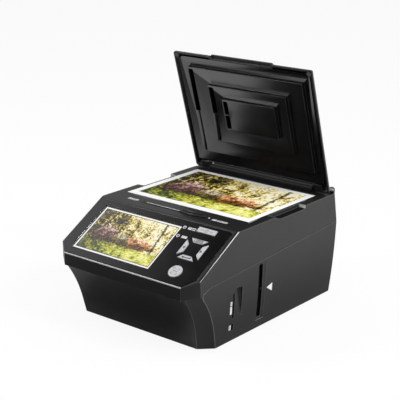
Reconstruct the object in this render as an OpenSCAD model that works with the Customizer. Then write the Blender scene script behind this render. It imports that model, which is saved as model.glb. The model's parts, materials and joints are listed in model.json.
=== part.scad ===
// Film negative scanner with a photo lid. Millimetres, +Z up, front towards -Y.
// The origin is on the table under the middle of the case. The lid stands open.

/* [Case] */
// Rim of the case beside the glass
side_rim = 11.1; // [10:0.1:14]
// How much narrower the case is at the table, each side
base_in = 4.9; // [3:0.1:6]
// Length of the deck in front of the glass
front_rim = 30.7; // [28:0.1:34]
// Length of the deck behind the glass
rear_rim = 25.4; // [24:0.1:30]
// Height of the deck above the table
deck_z = 124.7; // [123:0.1:132]
// Wall of both case halves
wall = 2.4; // [2:0.1:2.8]
// Cut of the panel's two front corners across the front
corner_x = 15.7; // [14:0.1:18]
// Cut of the panel's two front corners along the sides
corner_y = 13; // [11:0.2:16]
// Cut of the two rear corners, seen from above
rear_cut = 4; // [2:0.5:6]
// How far the feet lift the case
foot_lift = 1.5; // [1:0.1:3]
// Radius of the feet
foot_r = 7; // [5:0.5:8]

/* [Sloped panel] */
// Run of the panel, seen from above
panel_run = 76.3; // [74:0.1:80]
// Fall of the panel from the deck to the lip
panel_drop = 44.2; // [42:0.2:46]
// Height of the visor below the lip
visor_h = 15.3; // [12:0.1:18]
// Rounding of the lip
lip_r = 1.6; // [0.8:0.1:3]
// Rounding of the panel's two long edges
side_r = 3; // [1.5:0.1:3.6]
// Thickness of the bezel
bezel_t = 2; // [1.6:0.1:2.4]
// How far the bezel stands proud of the panel
bezel_proud = 0.2; // [0.1:0.1:0.5]
// Case rim left beside the bezel
bezel_rim = 5.6; // [5:0.2:6.4]
// Case rim left above the bezel
bezel_top_rim = 2.9; // [2:0.1:4]
// Case rim left in front of the bezel
bezel_front_rim = 1.6; // [1.2:0.1:3]
// Corner cut of the bezel across the front
bezel_cut_x = 10.8; // [9:0.2:12]
// Corner cut of the bezel down the panel
bezel_cut_t = 13.6; // [11:0.2:15]

/* [Front skirt] */
// How far the skirt stands back at the table
skirt_back = 29.2; // [26:0.2:34]
// Height of the straight foot of the skirt
skirt_foot = 17; // [12:1:24]
// Lean of that foot from upright, in degrees
skirt_lean = 12; // [10:1:14]
// Radius of the concave skirt
skirt_r = 118; // [110:1:140]
// Cut of the skirt's two corners across the front
skirt_cut_x = 14; // [12:0.1:16]
// Cut of the skirt's two corners along the sides
skirt_cut_y = 13.7; // [12:0.1:15]

/* [Rear] */
// How far the rear wall stands back at the table
rear_base_in = 5; // [4:0.1:9]
// How far the rear wall stands back at the deck
rear_top_in = 6; // [4:0.1:8]
// Height of the rear bulge, where the parting line ends
bulge_z = 89.8; // [86:0.2:94]
// Height of the two cheeks behind the lid
cheek_h = 6; // [4:0.5:8]

/* [Screen] */
// Picture width
screen_w = 112.8; // [106:0.2:114]
// Picture height
screen_h = 64.7; // [58:0.1:65]
// Share of the panel's free width that lies left of the picture
screen_share = 0.256; // [0.22:0.002:0.28]
// Middle of the picture down the panel
screen_t = 44.1; // [43:0.1:45]
// Thickness of the window
window_t = 1.2; // [0.8:0.1:1.4]

/* [Keys] */
// Share of the panel's free width that lies right of the keys
key_share = 0.333; // [0.31:0.001:0.36]
// Middle of the four ring keys down the panel
ring_t = 38.4; // [37:0.1:40]
// Half size of the ring of keys
ring_out = 14.9; // [14:0.1:16]
// Width of each ring key
ring_band = 5.8; // [5:0.1:6.6]
// Rectangular key, width
power_w = 25; // [20:0.5:28]
// Rectangular key, height
power_h = 7.4; // [6:0.2:8]
// Middle of the rectangular key down the panel
power_t = 10.6; // [10:0.1:12]
// Radius of the round scan key
scan_r = 8.2; // [6:0.1:8.6]
// Middle of the scan key down the panel
scan_t = 70.6; // [69:0.2:72]
// How far the keys stand above the bezel
key_proud = 1.1; // [1:0.1:1.6]
// Travel of every key
key_travel = 0.9; // [0.5:0.1:1]
// Gap round a key in its hole
key_gap = 0.25; // [0.15:0.05:0.35]

/* [Platen] */
// Width of the print on the glass
print_w = 177.8; // [150:0.2:178]
// Depth of the print on the glass
print_d = 127; // [100:0.5:128]
// Thickness of the print
print_t = 0.3; // [0.2:0.05:0.6]
// Width of the platen glass
glass_w = 180.6; // [178:0.2:182]
// Depth of the platen glass
glass_d = 129.6; // [128:0.2:131]
// Thickness of the platen glass
glass_t = 3; // [2.5:0.1:4]
// Length of the finger notches beside the glass
notch_len = 60; // [40:1:64]
// Depth of the finger notches
notch_deep = 4; // [2.6:0.1:4.4]

/* [Lid] */
// Distance from the front edge of the deck to the lid's front edge
lid_front_in = 18.4; // [17:0.1:21]
// Thickness of the lid
lid_t = 11; // [10:0.5:14]
// Gap between the lid's side and the case's side
lid_side_in = 1.1; // [0.5:0.1:2]
// Upright band round the lid's rim
lid_land = 2.4; // [2:0.1:3]
// Angle at which the lid stands open
lid_open = 73.8; // [60:0.2:90]
// Height of the hinge axis above the deck
hinge_up = 3.4; // [3.3:0.1:4]
// Distance from the rear edge of the deck to the hinge axis
hinge_in = 11.5; // [11:0.1:14]
// Radius of the hinge pins
pin_r = 1.5; // [1.2:0.1:1.7]
// Distance from the lid's side to the end of the hinge bar
bar_in = 23.3; // [20:0.1:30]

/* [Mode selector] */
// Travel of the selector from photo to film
selector_travel = 50; // [40:1:50]
// Middle of the knob across the case, at photo
knob_x = 25.5; // [24:0.5:28]
// Length of the knob
knob_len = 38; // [30:1:42]
// Width of the knob
knob_w = 7.8; // [7:0.1:8.4]

/* [Film path] */
// Width of the film slot
film_w = 7.3; // [6:0.1:8]
// Height of the film slot
film_h = 62.6; // [56:0.2:64]
// Height of the slot's lower end above the table
film_z = 14.2; // [13.6:0.2:15.4]
// Wall of the film guide
guide_wall = 1.6; // [1.2:0.1:2]

/* [Side sockets] */
// Height of the card slot
card_h = 29.5; // [26:0.5:31]
// Width of the card slot
card_w = 2.8; // [2.4:0.1:3.4]
// Lower end of the card slot above the table
card_z = 27.6; // [27:0.2:29]
// Height of the small port
port_h = 8; // [7:0.5:9]
// Width of the small port
port_w = 3.2; // [2.8:0.1:3.6]
// Lower end of the port above the table
port_z = 13.6; // [13:0.2:14.6]

/* [Optics] */
// Radius of the guide rods
rod_r = 2; // [1.5:0.1:2.5]
// Half distance between the guide rods
rod_half = 10; // [9:0.5:11]
// Side of the photo mirror
mirror_side = 30; // [26:1:32]
// Radius of the close-up lens
close_lens_r = 9; // [7:0.5:10]

/* [Hidden] */
$fn = 64;
fit = 0.15;
loose = 0.3;
far = 400;
root2 = sqrt(2);

// ---- Places worked out from the sizes above ----
// The case is laid out round the glass
case_w = glass_w + 2 * side_rim;
base_w = case_w - 2 * base_in;
case_depth = panel_run + front_rim + glass_d + rear_rim + rear_top_in;
front_y = -case_depth / 2;
bulge_y = case_depth / 2;
rear_y = bulge_y - rear_top_in;
rear_base_y = bulge_y - rear_base_in;
deck_front_y = front_y + panel_run;
panel_angle = atan(panel_drop / panel_run);
panel_len = norm([panel_run, panel_drop]);
lip_z = deck_z - panel_drop;
visor_z = lip_z - visor_h;
floor_t = wall;
floor_z = foot_lift + floor_t;
panel_wall = bezel_t + 2.2;
panel_half = case_w / 2 - bezel_rim;
panel_free = 2 * panel_half - screen_w - power_w;
screen_x = -panel_half + screen_share * panel_free + screen_w / 2;
key_x = panel_half - key_share * panel_free - power_w / 2;
deck_under = deck_z - wall;
inner_half = case_w / 2 - wall;

hinge_y = rear_y - hinge_in;
hinge_z = deck_z + hinge_up;
lid_gap = 0.3;
rim_z = deck_z + lid_gap;
lid_rear_y = hinge_y + 1.2;
lid_front_y = deck_front_y + lid_front_in;
lid_len = lid_rear_y - lid_front_y;
lid_half = case_w / 2 - lid_side_in;
bar_half = lid_half - bar_in;
glass_y = deck_front_y + front_rim + glass_d / 2;
knuckle_r = hinge_up - lid_gap;
bar_r = 5.5;
bar_top = 6.5;
knuckle_len = 13.3;

selector_y = lid_front_y - knob_w / 2 - 0.4;
film_y = deck_front_y + 41;
card_y = deck_front_y - 6.6;
axis_z = film_z + film_h / 2;

post_x = case_w / 2 - 11.5;
front_post_y = deck_front_y + 22;
rear_post_y = rear_y - 13.5;
boss_top = 56;
post_r = 4.5;
screw_r = 1.25;

// ---- Small helpers ----
function unit(v) = v / norm(v);
// Half width at a height: upright above the rear bulge, and curving in towards the table below it
function half_w(z) = case_w / 2
    - (z < bulge_z ? base_in * pow((bulge_z - z) / (bulge_z - foot_lift), 2) : 0);
side_steps = 8;
side_z = [for (i = [0:side_steps]) foot_lift + (bulge_z - foot_lift) * i / side_steps];
function slope_z(y) = deck_z - (deck_front_y - y) * panel_drop / panel_run;
function arc(c, r, a0, a1, n) =
    [for (i = [0:n]) c + r * [cos(a0 + (a1 - a0) * i / n), sin(a0 + (a1 - a0) * i / n)]];
// Round corner b of the path a-b-c
function fillet(a, b, c, r, n = 6) =
    let (u = unit(a - b), v = unit(c - b), half = acos(u * v) / 2,
        mid = b + unit(u + v) * r / sin(half), s = b + u * r / tan(half), e = b + v * r / tan(half),
        a0 = atan2(s.y - mid.y, s.x - mid.x), a1 = atan2(e.y - mid.y, e.x - mid.x),
        turn = a1 - a0 > 180 ? a1 - a0 - 360 : a1 - a0 < -180 ? a1 - a0 + 360 : a1 - a0)
    arc(mid, r, a0, a0 + turn, n);

// A (y, z) outline carried along X, and an (x, z) outline carried along Y
module along_x(pts, len = far) rotate([90, 0, 90]) linear_extrude(len, center = true) polygon(pts);
module along_y(pts, len = far) rotate([90, 0, 0]) linear_extrude(len, center = true) polygon(pts);
// A block given by its two corners
module block(low, high) translate(low) cube(high - low);
module both_sides() { children(); mirror([1, 0, 0]) children(); }
module rod_x(r, len, c) translate(c) rotate([0, 90, 0]) cylinder(r = r, h = len, center = true);
module on_panel() translate([0, deck_front_y, deck_z]) rotate([panel_angle, 0, 0]) children();

// ---- Case outlines, each with an inset for the inside ----
skirt_y = front_y + skirt_back - skirt_foot * tan(skirt_lean);
skirt_z = foot_lift + skirt_foot;
skirt_c = [skirt_y, skirt_z] - skirt_r * [cos(skirt_lean), sin(skirt_lean)];
skirt_end = asin((visor_z + 1.5 - skirt_c.y) / skirt_r);
skirt_path = concat([[front_y + skirt_back, foot_lift]], arc(skirt_c, skirt_r, skirt_lean, skirt_end, 30));
function up_and_down(path, in, low, high) =
    concat([[path[0].x + in, low]], [for (p = path) if (p.y > low) p + [in, 0]],
        [[path[len(path) - 1].x + in, high]]);
function rear_at(z) = z > bulge_z ? bulge_y - rear_top_in * (z - bulge_z) / (deck_z - bulge_z)
    : bulge_y - rear_base_in * (bulge_z - z) / (bulge_z - foot_lift);
rear_path = [for (z = concat(side_z, [deck_z])) [rear_at(z), z]];

// Lower half: concave front, straight rear
function lower_profile(in, low) =
    concat(up_and_down(skirt_path, in, low, bulge_z + 10),
        [[rear_at(bulge_z + 10) - in, bulge_z + 10], [bulge_y - in, bulge_z], [rear_base_y - in, low]]);
// Upper half: visor, slope, deck, rear; the slope and the deck have insets of their own
function upper_profile(in, slope_in, deck_in) =
    let (drop = slope_in / cos(panel_angle), lip = [front_y + in, slope_z(front_y + in) - drop],
        brow = [deck_front_y + (drop - deck_in) * panel_run / panel_drop, deck_z - deck_in],
        back = [rear_y - in, deck_z - deck_in], foot = [front_y + in, visor_z - 10])
    concat([foot], fillet(foot, lip, brow, lip_r), fillet(lip, brow, back, 3),
        [back, [bulge_y - in, bulge_z], [bulge_y - in, visor_z - 10]]);
function side_outline(in) =
    let (edge = concat([[base_w / 2 - in, foot_lift - 1]], [for (z = side_z) [half_w(z) - in, z]],
        [[case_w / 2 - in, far]]))
    concat(edge, [for (i = [len(edge) - 1:-1:0]) [-edge[i].x, edge[i].y]]);
// The cut front corner follows the front's own curve, so it is that curve carried along the cut's direction
module front_corner(path, cut, in, low, high) {
    dir = unit(cut);
    line = [for (p = path) [dir.x * p.x - dir.y * (half_w(p.y) - cut.x) + in, p.y]];
    last = line[len(line) - 1];
    rotate([0, 0, 90 + atan2(cut.y, cut.x)]) rotate([90, 0, 0]) linear_extrude(far * 2, center = true)
        polygon(concat([[far, low], [line[0].x, low]], line, [[last.x, high], [far, high]]));
}
module rear_corner(in, low, high) {
    line = [for (p = rear_path) [(p.x + half_w(p.y) - rear_cut - in * root2) / root2, p.y]];
    rotate([0, 0, 45]) rotate([90, 0, 0]) linear_extrude(far * 2, center = true)
        polygon(concat([[-far, low], [line[0].x, low]], line,
            [[line[len(line) - 1].x, high], [-far, high]]));
}
visor_path = [[front_y, visor_z - 10], [front_y, deck_z]];
visor_cut = [corner_x, corner_y];
skirt_cut = [skirt_cut_x, skirt_cut_y];
module lower_form(in, low) intersection() {
    along_x(lower_profile(in, low));
    along_y(side_outline(in));
    both_cut(skirt_path, skirt_cut, in, low - 1, bulge_z + 20);
}
module upper_form(in, slope_in, deck_in) intersection() {
    along_x(upper_profile(in, slope_in, deck_in));
    along_y(side_outline(in));
    both_cut(visor_path, visor_cut, in, visor_z - 11, deck_z + 20);
}
// A long bar down the panel's slope, whose upper corners round the panel's two long edges; it stands a hair
// outside the case, so that it shapes nothing else
module long_edges() {
    x = case_w / 2 + hair;
    on_panel() rotate([90, 0, 0]) linear_extrude(far * 2, center = true) polygon(concat(
        fillet([x, -far], [x, hair], [0, hair], side_r), fillet([0, hair], [-x, hair], [-x, -far], side_r),
        [[-x, -far], [x, -far]]));
}
hair = 0.02;
module both_cut(path, cut, in, low, high) intersection() {
    front_corner(path, cut, in, low, high);
    mirror([1, 0, 0]) front_corner(path, cut, in, low, high);
    rear_corner(in, low, high);
    mirror([1, 0, 0]) rear_corner(in, low, high);
}
// The parting line, seen from the side
part_front = [front_y, visor_z];
part_knee = [front_y + 14, visor_z + 3.8];
part_brow = [front_y + 27.7, visor_z + 10.7];
part_rear = [bulge_y, bulge_z];
function parting(dz) =
    [for (p = concat([part_front - [20, 1], part_front, part_knee],
        fillet(part_knee, part_brow, part_rear, 14), [part_rear, part_rear + [20, 1]])) p + [0, dz]];
module above(dz) along_x(concat(parting(dz), [[bulge_y + 20, far], [front_y - 20, far]]));
module below(dz) along_x(concat(parting(dz), [[bulge_y + 20, -20], [front_y - 20, -20]]));

// ---- Screws and posts ----
module at_posts() for (s = [-1, 1], y = [front_post_y, rear_post_y]) translate([s * post_x, y, 0])
    children();
foot_x = base_w / 2 - 25;
module at_feet() for (s = [-1, 1], y = [front_y + skirt_back + 16, rear_base_y - 15])
    translate([s * foot_x, y, 0]) children();

// ---- Inside works, shared places ----
rod_z = 26;
// Inner and outer side of a rod holder, and what it has round the rods
rod_post = [76, 83];
rod_post_wall = 5;
board_low = [-80, front_y + skirt_back + 8, 10];
board_high = [30, film_y - 21, 11.6];
board_post_in = 6;
module at_board_posts()
    for (x = [board_low.x + board_post_in, board_high.x - board_post_in],
        y = [board_low.y + board_post_in, board_high.y - board_post_in]) translate([x, y, 0]) children();
side_board_y = card_y + card_w / 2 + 0.6;
side_board_t = 1.6;
// Inner face of the side wall at a height, where a socket behind the wall ends
function socket_x(z) = half_w(z) - wall - loose;
side_board_x = [socket_x(port_z) - 48, socket_x(port_z) - 7.5];
guide_low = [film_y - film_w / 2 - guide_wall, film_z - guide_wall];
guide_high = [film_y + film_w / 2 + guide_wall, film_z + film_h + guide_wall];
guide_half = half_w(film_z) - wall - 0.4;
cradle_x = [-62, -34, 34, 62];
// Half width and half height of the film's window
window_half = 20;
window_z = 13;
camera_y = glass_y + 24;

module lower_case() color([0.16, 0.16, 0.17]) {
    difference() {
        union() {
            difference() {
                intersection() { lower_form(0, foot_lift); below(0); }
                lower_form(wall, floor_z);
            }
            // Tongue that steps into the upper half
            intersection() {
                difference() { lower_form(wall - 0.1, 40); lower_form(wall + 1.1, 39); }
                below(-1.2);
                above(-6);
            }
            intersection() {
                difference() { lower_form(wall + loose, 40); lower_form(wall + 1.1, 39); }
                below(2);
                above(-6);
                block([-far, part_brow.x, 0], [far, far, far]);
            }
            // Backing behind the thumb scoop
            block([half_w(40) - wall - 3.4, scoop_y - 11, scoop_z - 3],
                [half_w(20) - 0.6, scoop_y + 3, scoop_z + 38]);
            at_posts() translate([0, 0, foot_lift]) cylinder(r = post_r + 0.5, h = boss_top - foot_lift);
            at_board_posts() translate([0, 0, floor_z - 0.5])
                cylinder(r = 3, h = board_low.z - floor_z + 0.5);
            // Rod holders
            both_sides() block([rod_post.x, glass_y - rod_half - rod_post_wall, floor_z - 0.5],
                [rod_post.y, glass_y + rod_half + rod_post_wall, rod_z + rod_post_wall]);
            // Cradles under the film guide
            for (x = cradle_x)
                block([x - 2, guide_low.x - 1, floor_z - 0.5], [x + 2, guide_high.x + 1, guide_low.y]);
            // Shoe that holds the side board's lower edge
            block([side_board_x[0] - 2, side_board_y - 2, floor_z - 0.5],
                [side_board_x[1] + 1, side_board_y + side_board_t + 2, port_z - 4]);
        }
        // Film slot, from side to side, with its shallow frame on both sides
        block([-far, film_y - film_w / 2, film_z], [far, film_y + film_w / 2, film_z + film_h]);
        both_sides() frame_recess();
        // Card slot and port
        block([inner_half - 12, card_y - card_w / 2, card_z], [far, card_y + card_w / 2, card_z + card_h]);
        block([inner_half - 12, card_y - port_w / 2, port_z], [far, card_y + port_w / 2, port_z + port_h]);
        thumb_scoop();
        block([side_board_x[0] - 3, side_board_y, port_z - 6],
            [side_board_x[1] + 2, side_board_y + side_board_t, far]);
        // Screw wells, rod bores, board screws, feet
        at_posts() {
            translate([0, 0, -1]) cylinder(r = 3.2, h = boss_top - 2);
            cylinder(r = screw_r + 0.3, h = boss_top + 5);
        }
        for (dy = [-rod_half, rod_half]) rod_x(rod_r + 0.03, 2 * rod_post.y - 3, [0, glass_y + dy, rod_z]);
        at_board_posts() translate([0, 0, floor_z + 0.5]) cylinder(r = 0.9, h = far);
        at_feet() translate([0, 0, foot_lift - 1]) cylinder(r = foot_r + fit, h = 2);
    }
}
module frame_recess() {
    deep = 0.8;
    intersection() {
        block([half_w(0) - 4, film_y - film_w / 2 - 1.6, film_z - 3],
            [far, film_y + film_w / 2 + 4.2, film_z + film_h + 1.4]);
        difference() { block([0, film_y - 20, 0], [far, film_y + 20, far]); along_y(side_outline(deep)); }
    }
}
// A finger scoop beside the card slot: it deepens towards its rear edge and runs out at its lower end
scoop_y = deck_front_y + 7.9;
scoop_z = 28.5;
scoop_deep = 3.2;
module thumb_scoop() {
    lean = atan(7 / 33);
    intersection() {
        translate([half_w(scoop_z), scoop_y - 1.4, scoop_z]) rotate([lean, 0, 0])
            linear_extrude(40) polygon([[4, -12], [-0.2, 0], [-scoop_deep, 8], [4, 8]]);
        block([0, scoop_y - 20, scoop_z - 2], [far, scoop_y, scoop_z + 33]);
    }
}

module upper_case() color([0.17, 0.17, 0.18]) {
    seat = [glass_w / 2 + 0.2, glass_d / 2 + 0.2];
    difference() {
        union() {
            difference() {
                intersection() { upper_form(0, 0, 0); above(0.4); long_edges(); }
                upper_form(wall, panel_wall, wall);
            }
            // Return flange inside the visor, on the skirt's upper edge
            intersection() {
                upper_form(0.5, 0.5, 0.5);
                above(0.4);
                below(3);
                difference() {
                    block([-far, front_y - 1, 0], [far, front_y + 24, far]);
                    intersection() {
                        along_x([[front_y + 6.4, 0], [front_y + 6.4, far], [far, far], [far, 0]]);
                        front_corner(visor_path, visor_cut, 6.2, 0, far);
                        mirror([1, 0, 0]) front_corner(visor_path, visor_cut, 6.2, 0, far);
                        along_y(side_outline(wall));
                    }
                }
            }
            // Ledge under the glass and floors of the finger notches
            block([-seat.x - 3.4, glass_y - seat.y - 3.4, ledge_z - 2.2],
                [seat.x + 3.4, glass_y + seat.y + 3.4, deck_under + 0.5]);
            both_sides() block([seat.x, notch_y - notch_len / 2 - 1.8, deck_z - notch_deep - 1.8],
                [case_w / 2 - 0.4, notch_y + notch_len / 2 + 1.8, deck_under + 0.5]);
            at_posts() translate([0, 0, boss_top + 0.2]) cylinder(r = post_r, h = deck_under - boss_top);
            // Cheeks behind the lid
            both_sides() intersection() {
                cheek();
                upper_form(0, 0, -cheek_h - 1);
            }
        }
        // Opening and seat of the glass
        block([-seat.x, glass_y - seat.y, ledge_z], [seat.x, glass_y + seat.y, far]);
        block([-seat.x + 3.2, glass_y - seat.y + 3.2, 0], [seat.x - 3.2, glass_y + seat.y - 3.2, far]);
        // Finger notches
        both_sides() translate([seat.x + 1.2 + far / 2, notch_y, deck_z]) along_x([[-notch_len / 2, 0],
            [-notch_len / 2 + 11, -notch_deep], [notch_len / 2 - 1, -notch_deep], [notch_len / 2, 0],
            [notch_len / 2, far], [-notch_len / 2, far]]);
        // Seat of the bezel, and the opening under it
        on_panel() {
            translate([0, 0, bezel_proud - bezel_t]) linear_extrude(bezel_t + 5)
                polygon(bezel_outline(fit));
            translate([0, 0, -20]) linear_extrude(20) polygon(bezel_outline(-2.5));
        }
        // Selector slot and its round end
        hull_slot();
        // Relief under the lid's rear edge
        both_sides() rod_x(hinge_up + 0.6, case_w / 2 - bar_half + 1,
            [(case_w / 2 + bar_half + 1) / 2, hinge_y, hinge_z]);
        at_posts() translate([0, 0, boss_top]) cylinder(r = screw_r, h = 14);
    }
}
ledge_z = deck_z - glass_t - 0.5;
notch_y = glass_y - 2.5;
module cheek() {
    low = [rear_y - 6.6, deck_z - 1];
    top = deck_z + cheek_h;
    outline = concat([low], fillet(low, [low.x, top], [rear_y, top], 3),
        [[rear_y + 1, top], [rear_y + 1, low.y]]);
    translate([case_w / 2 - 4, 0, 0]) along_x(outline, 8);
}
slot_left = knob_x - selector_travel - knob_len / 2 - 3.5;
slot_right = knob_x + 7;
slot_w = 3;
module hull_slot() {
    block([slot_left, selector_y - slot_w / 2, deck_under - 1], [slot_right, selector_y + slot_w / 2, far]);
    translate([slot_left, selector_y, deck_z - 1]) cylinder(r = 2.6, h = 10);
}

module rubber_feet() color([0.08, 0.08, 0.08])
    at_feet() cylinder(r = foot_r, h = foot_lift + 1);
module case_screws() color([0.75, 0.75, 0.76])
    at_posts() {
        translate([0, 0, boss_top - 5]) cylinder(r = 2.7, h = 2);
        translate([0, 0, boss_top - 4]) cylinder(r = screw_r, h = 15);
    }

// ---- Control panel: x across, y up the slope, z out of the panel ----
bezel_top_r = 4;
function bezel_outline(g) =
    let (x = panel_half + g, t0 = -bezel_top_rim + g, t1 = -panel_len + bezel_front_rim - g,
        cx = bezel_cut_x, ct = bezel_cut_t,
        tr = fillet([x, t0 - 20], [x, t0], [0, t0], bezel_top_r + g),
        tl = fillet([0, t0], [-x, t0], [-x, t0 - 20], bezel_top_r + g))
    concat(tr, tl, [[-x, t1 + ct], [-x + cx, t1], [x - cx, t1], [x, t1 + ct]]);
function rect(cx, t, w, h) = [[cx - w / 2, -t - h / 2], [cx + w / 2, -t - h / 2],
    [cx + w / 2, -t + h / 2], [cx - w / 2, -t + h / 2]];
// One ring key, grown by g: long edge outside, short edge inside, and slanted ends between them
ring_end_out = 3.8;
ring_end_in = 3.1;
function ring_key(g) =
    let (long = ring_out - ring_end_out + g * 1.2, short = ring_out - ring_band - ring_end_in + g * 0.6,
        top = ring_out + g, low = ring_out - ring_band - g)
    [[-long, top], [long, top], [short, low], [-short, low]];
bezel_under = bezel_proud - bezel_t;
flange_top = bezel_under - 0.2;
flange_t = 1;
flange_low = flange_top - flange_t;
key_tall = key_proud + bezel_proud - flange_low;
led_x = screen_x + screen_w / 2 + 4.5;
led_t = [12.3, 25.3];
led_r = 1.4;
// How much wider the window is than the display it covers
window_rim = 3.4;
module at_ring(turn) translate([key_x, -ring_t, 0]) rotate([0, 0, turn]) children();
module at_scan() translate([key_x, -scan_t, 0]) children();
module panel_bezel() color([0.03, 0.03, 0.035]) on_panel() difference() {
    translate([0, 0, bezel_under]) linear_extrude(bezel_t) polygon(bezel_outline(0));
    translate([0, 0, bezel_proud - window_t]) linear_extrude(5)
        polygon(rect(screen_x, screen_t, screen_w + window_rim, screen_h + window_rim));
    translate([0, 0, -5]) linear_extrude(10)
        polygon(rect(screen_x, screen_t, screen_w + 0.6, screen_h + 0.6));
    translate([0, 0, -5]) linear_extrude(10) polygon(rect(key_x, power_t, power_w, power_h));
    for (turn = [0, 90, 180, 270]) at_ring(turn) translate([0, 0, -5]) linear_extrude(10)
        polygon(ring_key(0));
    at_scan() translate([0, 0, -5]) cylinder(r = scan_r, h = 10);
    for (t = led_t) translate([led_x, -t, -5]) cylinder(r = led_r + 0.1, h = 10);
}
module screen_window() color([0.8, 0.9, 1, 0.4]) on_panel()
    translate([0, 0, bezel_proud - window_t]) linear_extrude(window_t)
        polygon(rect(screen_x, screen_t, screen_w + window_rim - 2 * fit, screen_h + window_rim - 2 * fit));
frame_floor = -8;
screen_back = frame_floor + 0.2;
module screen_module() color([0.7, 0.75, 0.3]) on_panel()
    translate([0, 0, screen_back]) linear_extrude(bezel_under - screen_back) intersection() {
        polygon(rect(screen_x, screen_t, screen_w + 5, screen_h + 8.6));
        polygon(bezel_outline(-frame_band - loose));
    }
module panel_frame() color([0.3, 0.3, 0.32]) on_panel() difference() {
    translate([0, 0, frame_floor - frame_t]) linear_extrude(-frame_floor + frame_t - panel_wall)
        polygon(bezel_outline(-0.5));
    translate([0, 0, frame_floor]) linear_extrude(20) polygon(bezel_outline(-frame_band));
}
frame_t = 1.6;
frame_band = 3.5;
board_x = screen_x + screen_w / 2 + 2.9;
key_board_z = frame_floor + 1.6;
module key_board() color([0.1, 0.4, 0.2]) on_panel()
    translate([0, 0, frame_floor]) linear_extrude(key_board_z - frame_floor) intersection() {
        translate([board_x, -panel_len]) square([far, panel_len - bezel_top_rim - 4]);
        polygon(bezel_outline(-frame_band - loose));
    }
switch_top = flange_low - key_travel - 0.2;
module tact_switch() {
    translate([-2.5, -2.5, key_board_z]) cube([5, 5, 1.4]);
    translate([0, 0, key_board_z + 1.3]) cylinder(r = 1.2, h = switch_top - key_board_z - 1.3);
}
module key_switches() color([0.6, 0.6, 0.62]) on_panel() {
    translate([key_x, -power_t, 0]) tact_switch();
    for (turn = [0, 90, 180, 270]) at_ring(turn) translate([0, ring_out - ring_band / 2, 0]) tact_switch();
    at_scan() tact_switch();
}
module indicator_leds() color([0.9, 0.95, 0.8]) on_panel()
    for (t = led_t) translate([led_x - 1, -t - 1, key_board_z]) cube([2, 2, 0.8]);
module light_pipes() color([0.95, 0.95, 0.95]) on_panel()
    for (t = led_t) translate([led_x, -t, key_board_z + 0.8])
        cylinder(r = led_r, h = bezel_proud - key_board_z - 0.8);

// A key: its cap stands through the bezel, its flange is caught below it
module key_cap(cap, flange) {
    translate([0, 0, flange_low + 0.1]) linear_extrude(key_tall - 0.1) polygon(cap);
    translate([0, 0, flange_low]) linear_extrude(flange_t) polygon(flange);
}
module power_key() color([0.8, 0.8, 0.8]) on_panel()
    key_cap(rect(key_x, power_t, power_w - 2 * key_gap, power_h - 2 * key_gap),
        rect(key_x, power_t, power_w + 2, power_h + 2));
module ring_key_at(turn) color([0.85, 0.85, 0.86]) on_panel() at_ring(turn)
    key_cap(ring_key(-key_gap), ring_key(0.9));
module menu_key() ring_key_at(0);
module left_key() ring_key_at(90);
module enter_key() ring_key_at(180);
module right_key() ring_key_at(270);
module scan_key() color([0.85, 0.85, 0.86]) on_panel() at_scan() {
    translate([0, 0, flange_low]) cylinder(r = scan_r + 1, h = flange_t);
    translate([0, 0, flange_low]) cylinder(r = scan_r - key_gap, h = key_tall);
}

// ---- Platen ----
module platen_glass() color([0.8, 0.9, 0.9, 0.4])
    block([-glass_w / 2, glass_y - glass_d / 2, deck_z - glass_t],
        [glass_w / 2, glass_y + glass_d / 2, deck_z]);
module glass_gasket() color([0.1, 0.1, 0.1]) difference() {
    block([-glass_w / 2, glass_y - glass_d / 2, ledge_z],
        [glass_w / 2, glass_y + glass_d / 2, deck_z - glass_t]);
    block([-glass_w / 2 + 2.6, glass_y - glass_d / 2 + 2.6, 0],
        [glass_w / 2 - 2.6, glass_y + glass_d / 2 - 2.6, far]);
}
module photo_print() color([0.9, 0.9, 0.7])
    block([-print_w / 2, glass_y - print_d / 2, deck_z],
        [print_w / 2, glass_y + print_d / 2, deck_z + print_t]);

// ---- Hinge ----
module hinge_bar() color([0.2, 0.2, 0.22]) difference() {
    low = [hinge_y - bar_r, deck_z];
    top = deck_z + bar_top;
    along_x(concat([low], fillet(low, [low.x, top], [hinge_y, top], 3),
        fillet([hinge_y, top], [hinge_y + bar_r, top], [hinge_y + bar_r, low.y], 1),
        [[hinge_y + bar_r, low.y]]), 2 * bar_half);
    both_sides() rod_x(pin_r + 0.02, 20, [bar_half, hinge_y, hinge_z]);
}
module hinge_pin(side) color([0.8, 0.8, 0.82])
    rod_x(pin_r, knuckle_len + 9, [side * (bar_half + (knuckle_len - 9) / 2), hinge_y, hinge_z]);
module hinge_pin_left() hinge_pin(-1);
module hinge_pin_right() hinge_pin(1);

// ---- Lid, drawn shut and then opened about the hinge ----
module opened() translate([0, hinge_y, hinge_z]) rotate([-lid_open, 0, 0])
    translate([0, -hinge_y, -hinge_z]) children();
lid_bevel = 8.5;
lid_wall = 2.4;
lid_roof = 2;
// The lid's outside, or its inside with the insets; heights from the rim
module lid_form(in, roof, low) {
    land = in > 0 ? lid_land - 0.8 : lid_land;
    x = lid_half - in;
    y = [lid_front_y + in, lid_rear_y - in];
    translate([0, 0, rim_z]) intersection() {
        along_y([[-x, low], [-x, land], [-x + lid_bevel, lid_t - roof], [x - lid_bevel, lid_t - roof],
            [x, land], [x, low]]);
        along_x([[y[0], low], [y[0], land], [y[0] + lid_bevel, lid_t - roof],
            [y[1] - lid_bevel, lid_t - roof], [y[1], land], [y[1], low]]);
        r = in > 0 ? 1.5 : 3;
        translate([0, 0, -5]) linear_extrude(lid_t + 10) polygon(concat(
            fillet([x, 0], [x, y[1]], [0, y[1]], r), fillet([0, y[1]], [-x, y[1]], [-x, 0], r),
            fillet([-x, 0], [-x, y[0]], [0, y[0]], r), fillet([0, y[0]], [x, y[0]], [x, 0], r)));
    }
}
bar_gap = 1.2;
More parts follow.
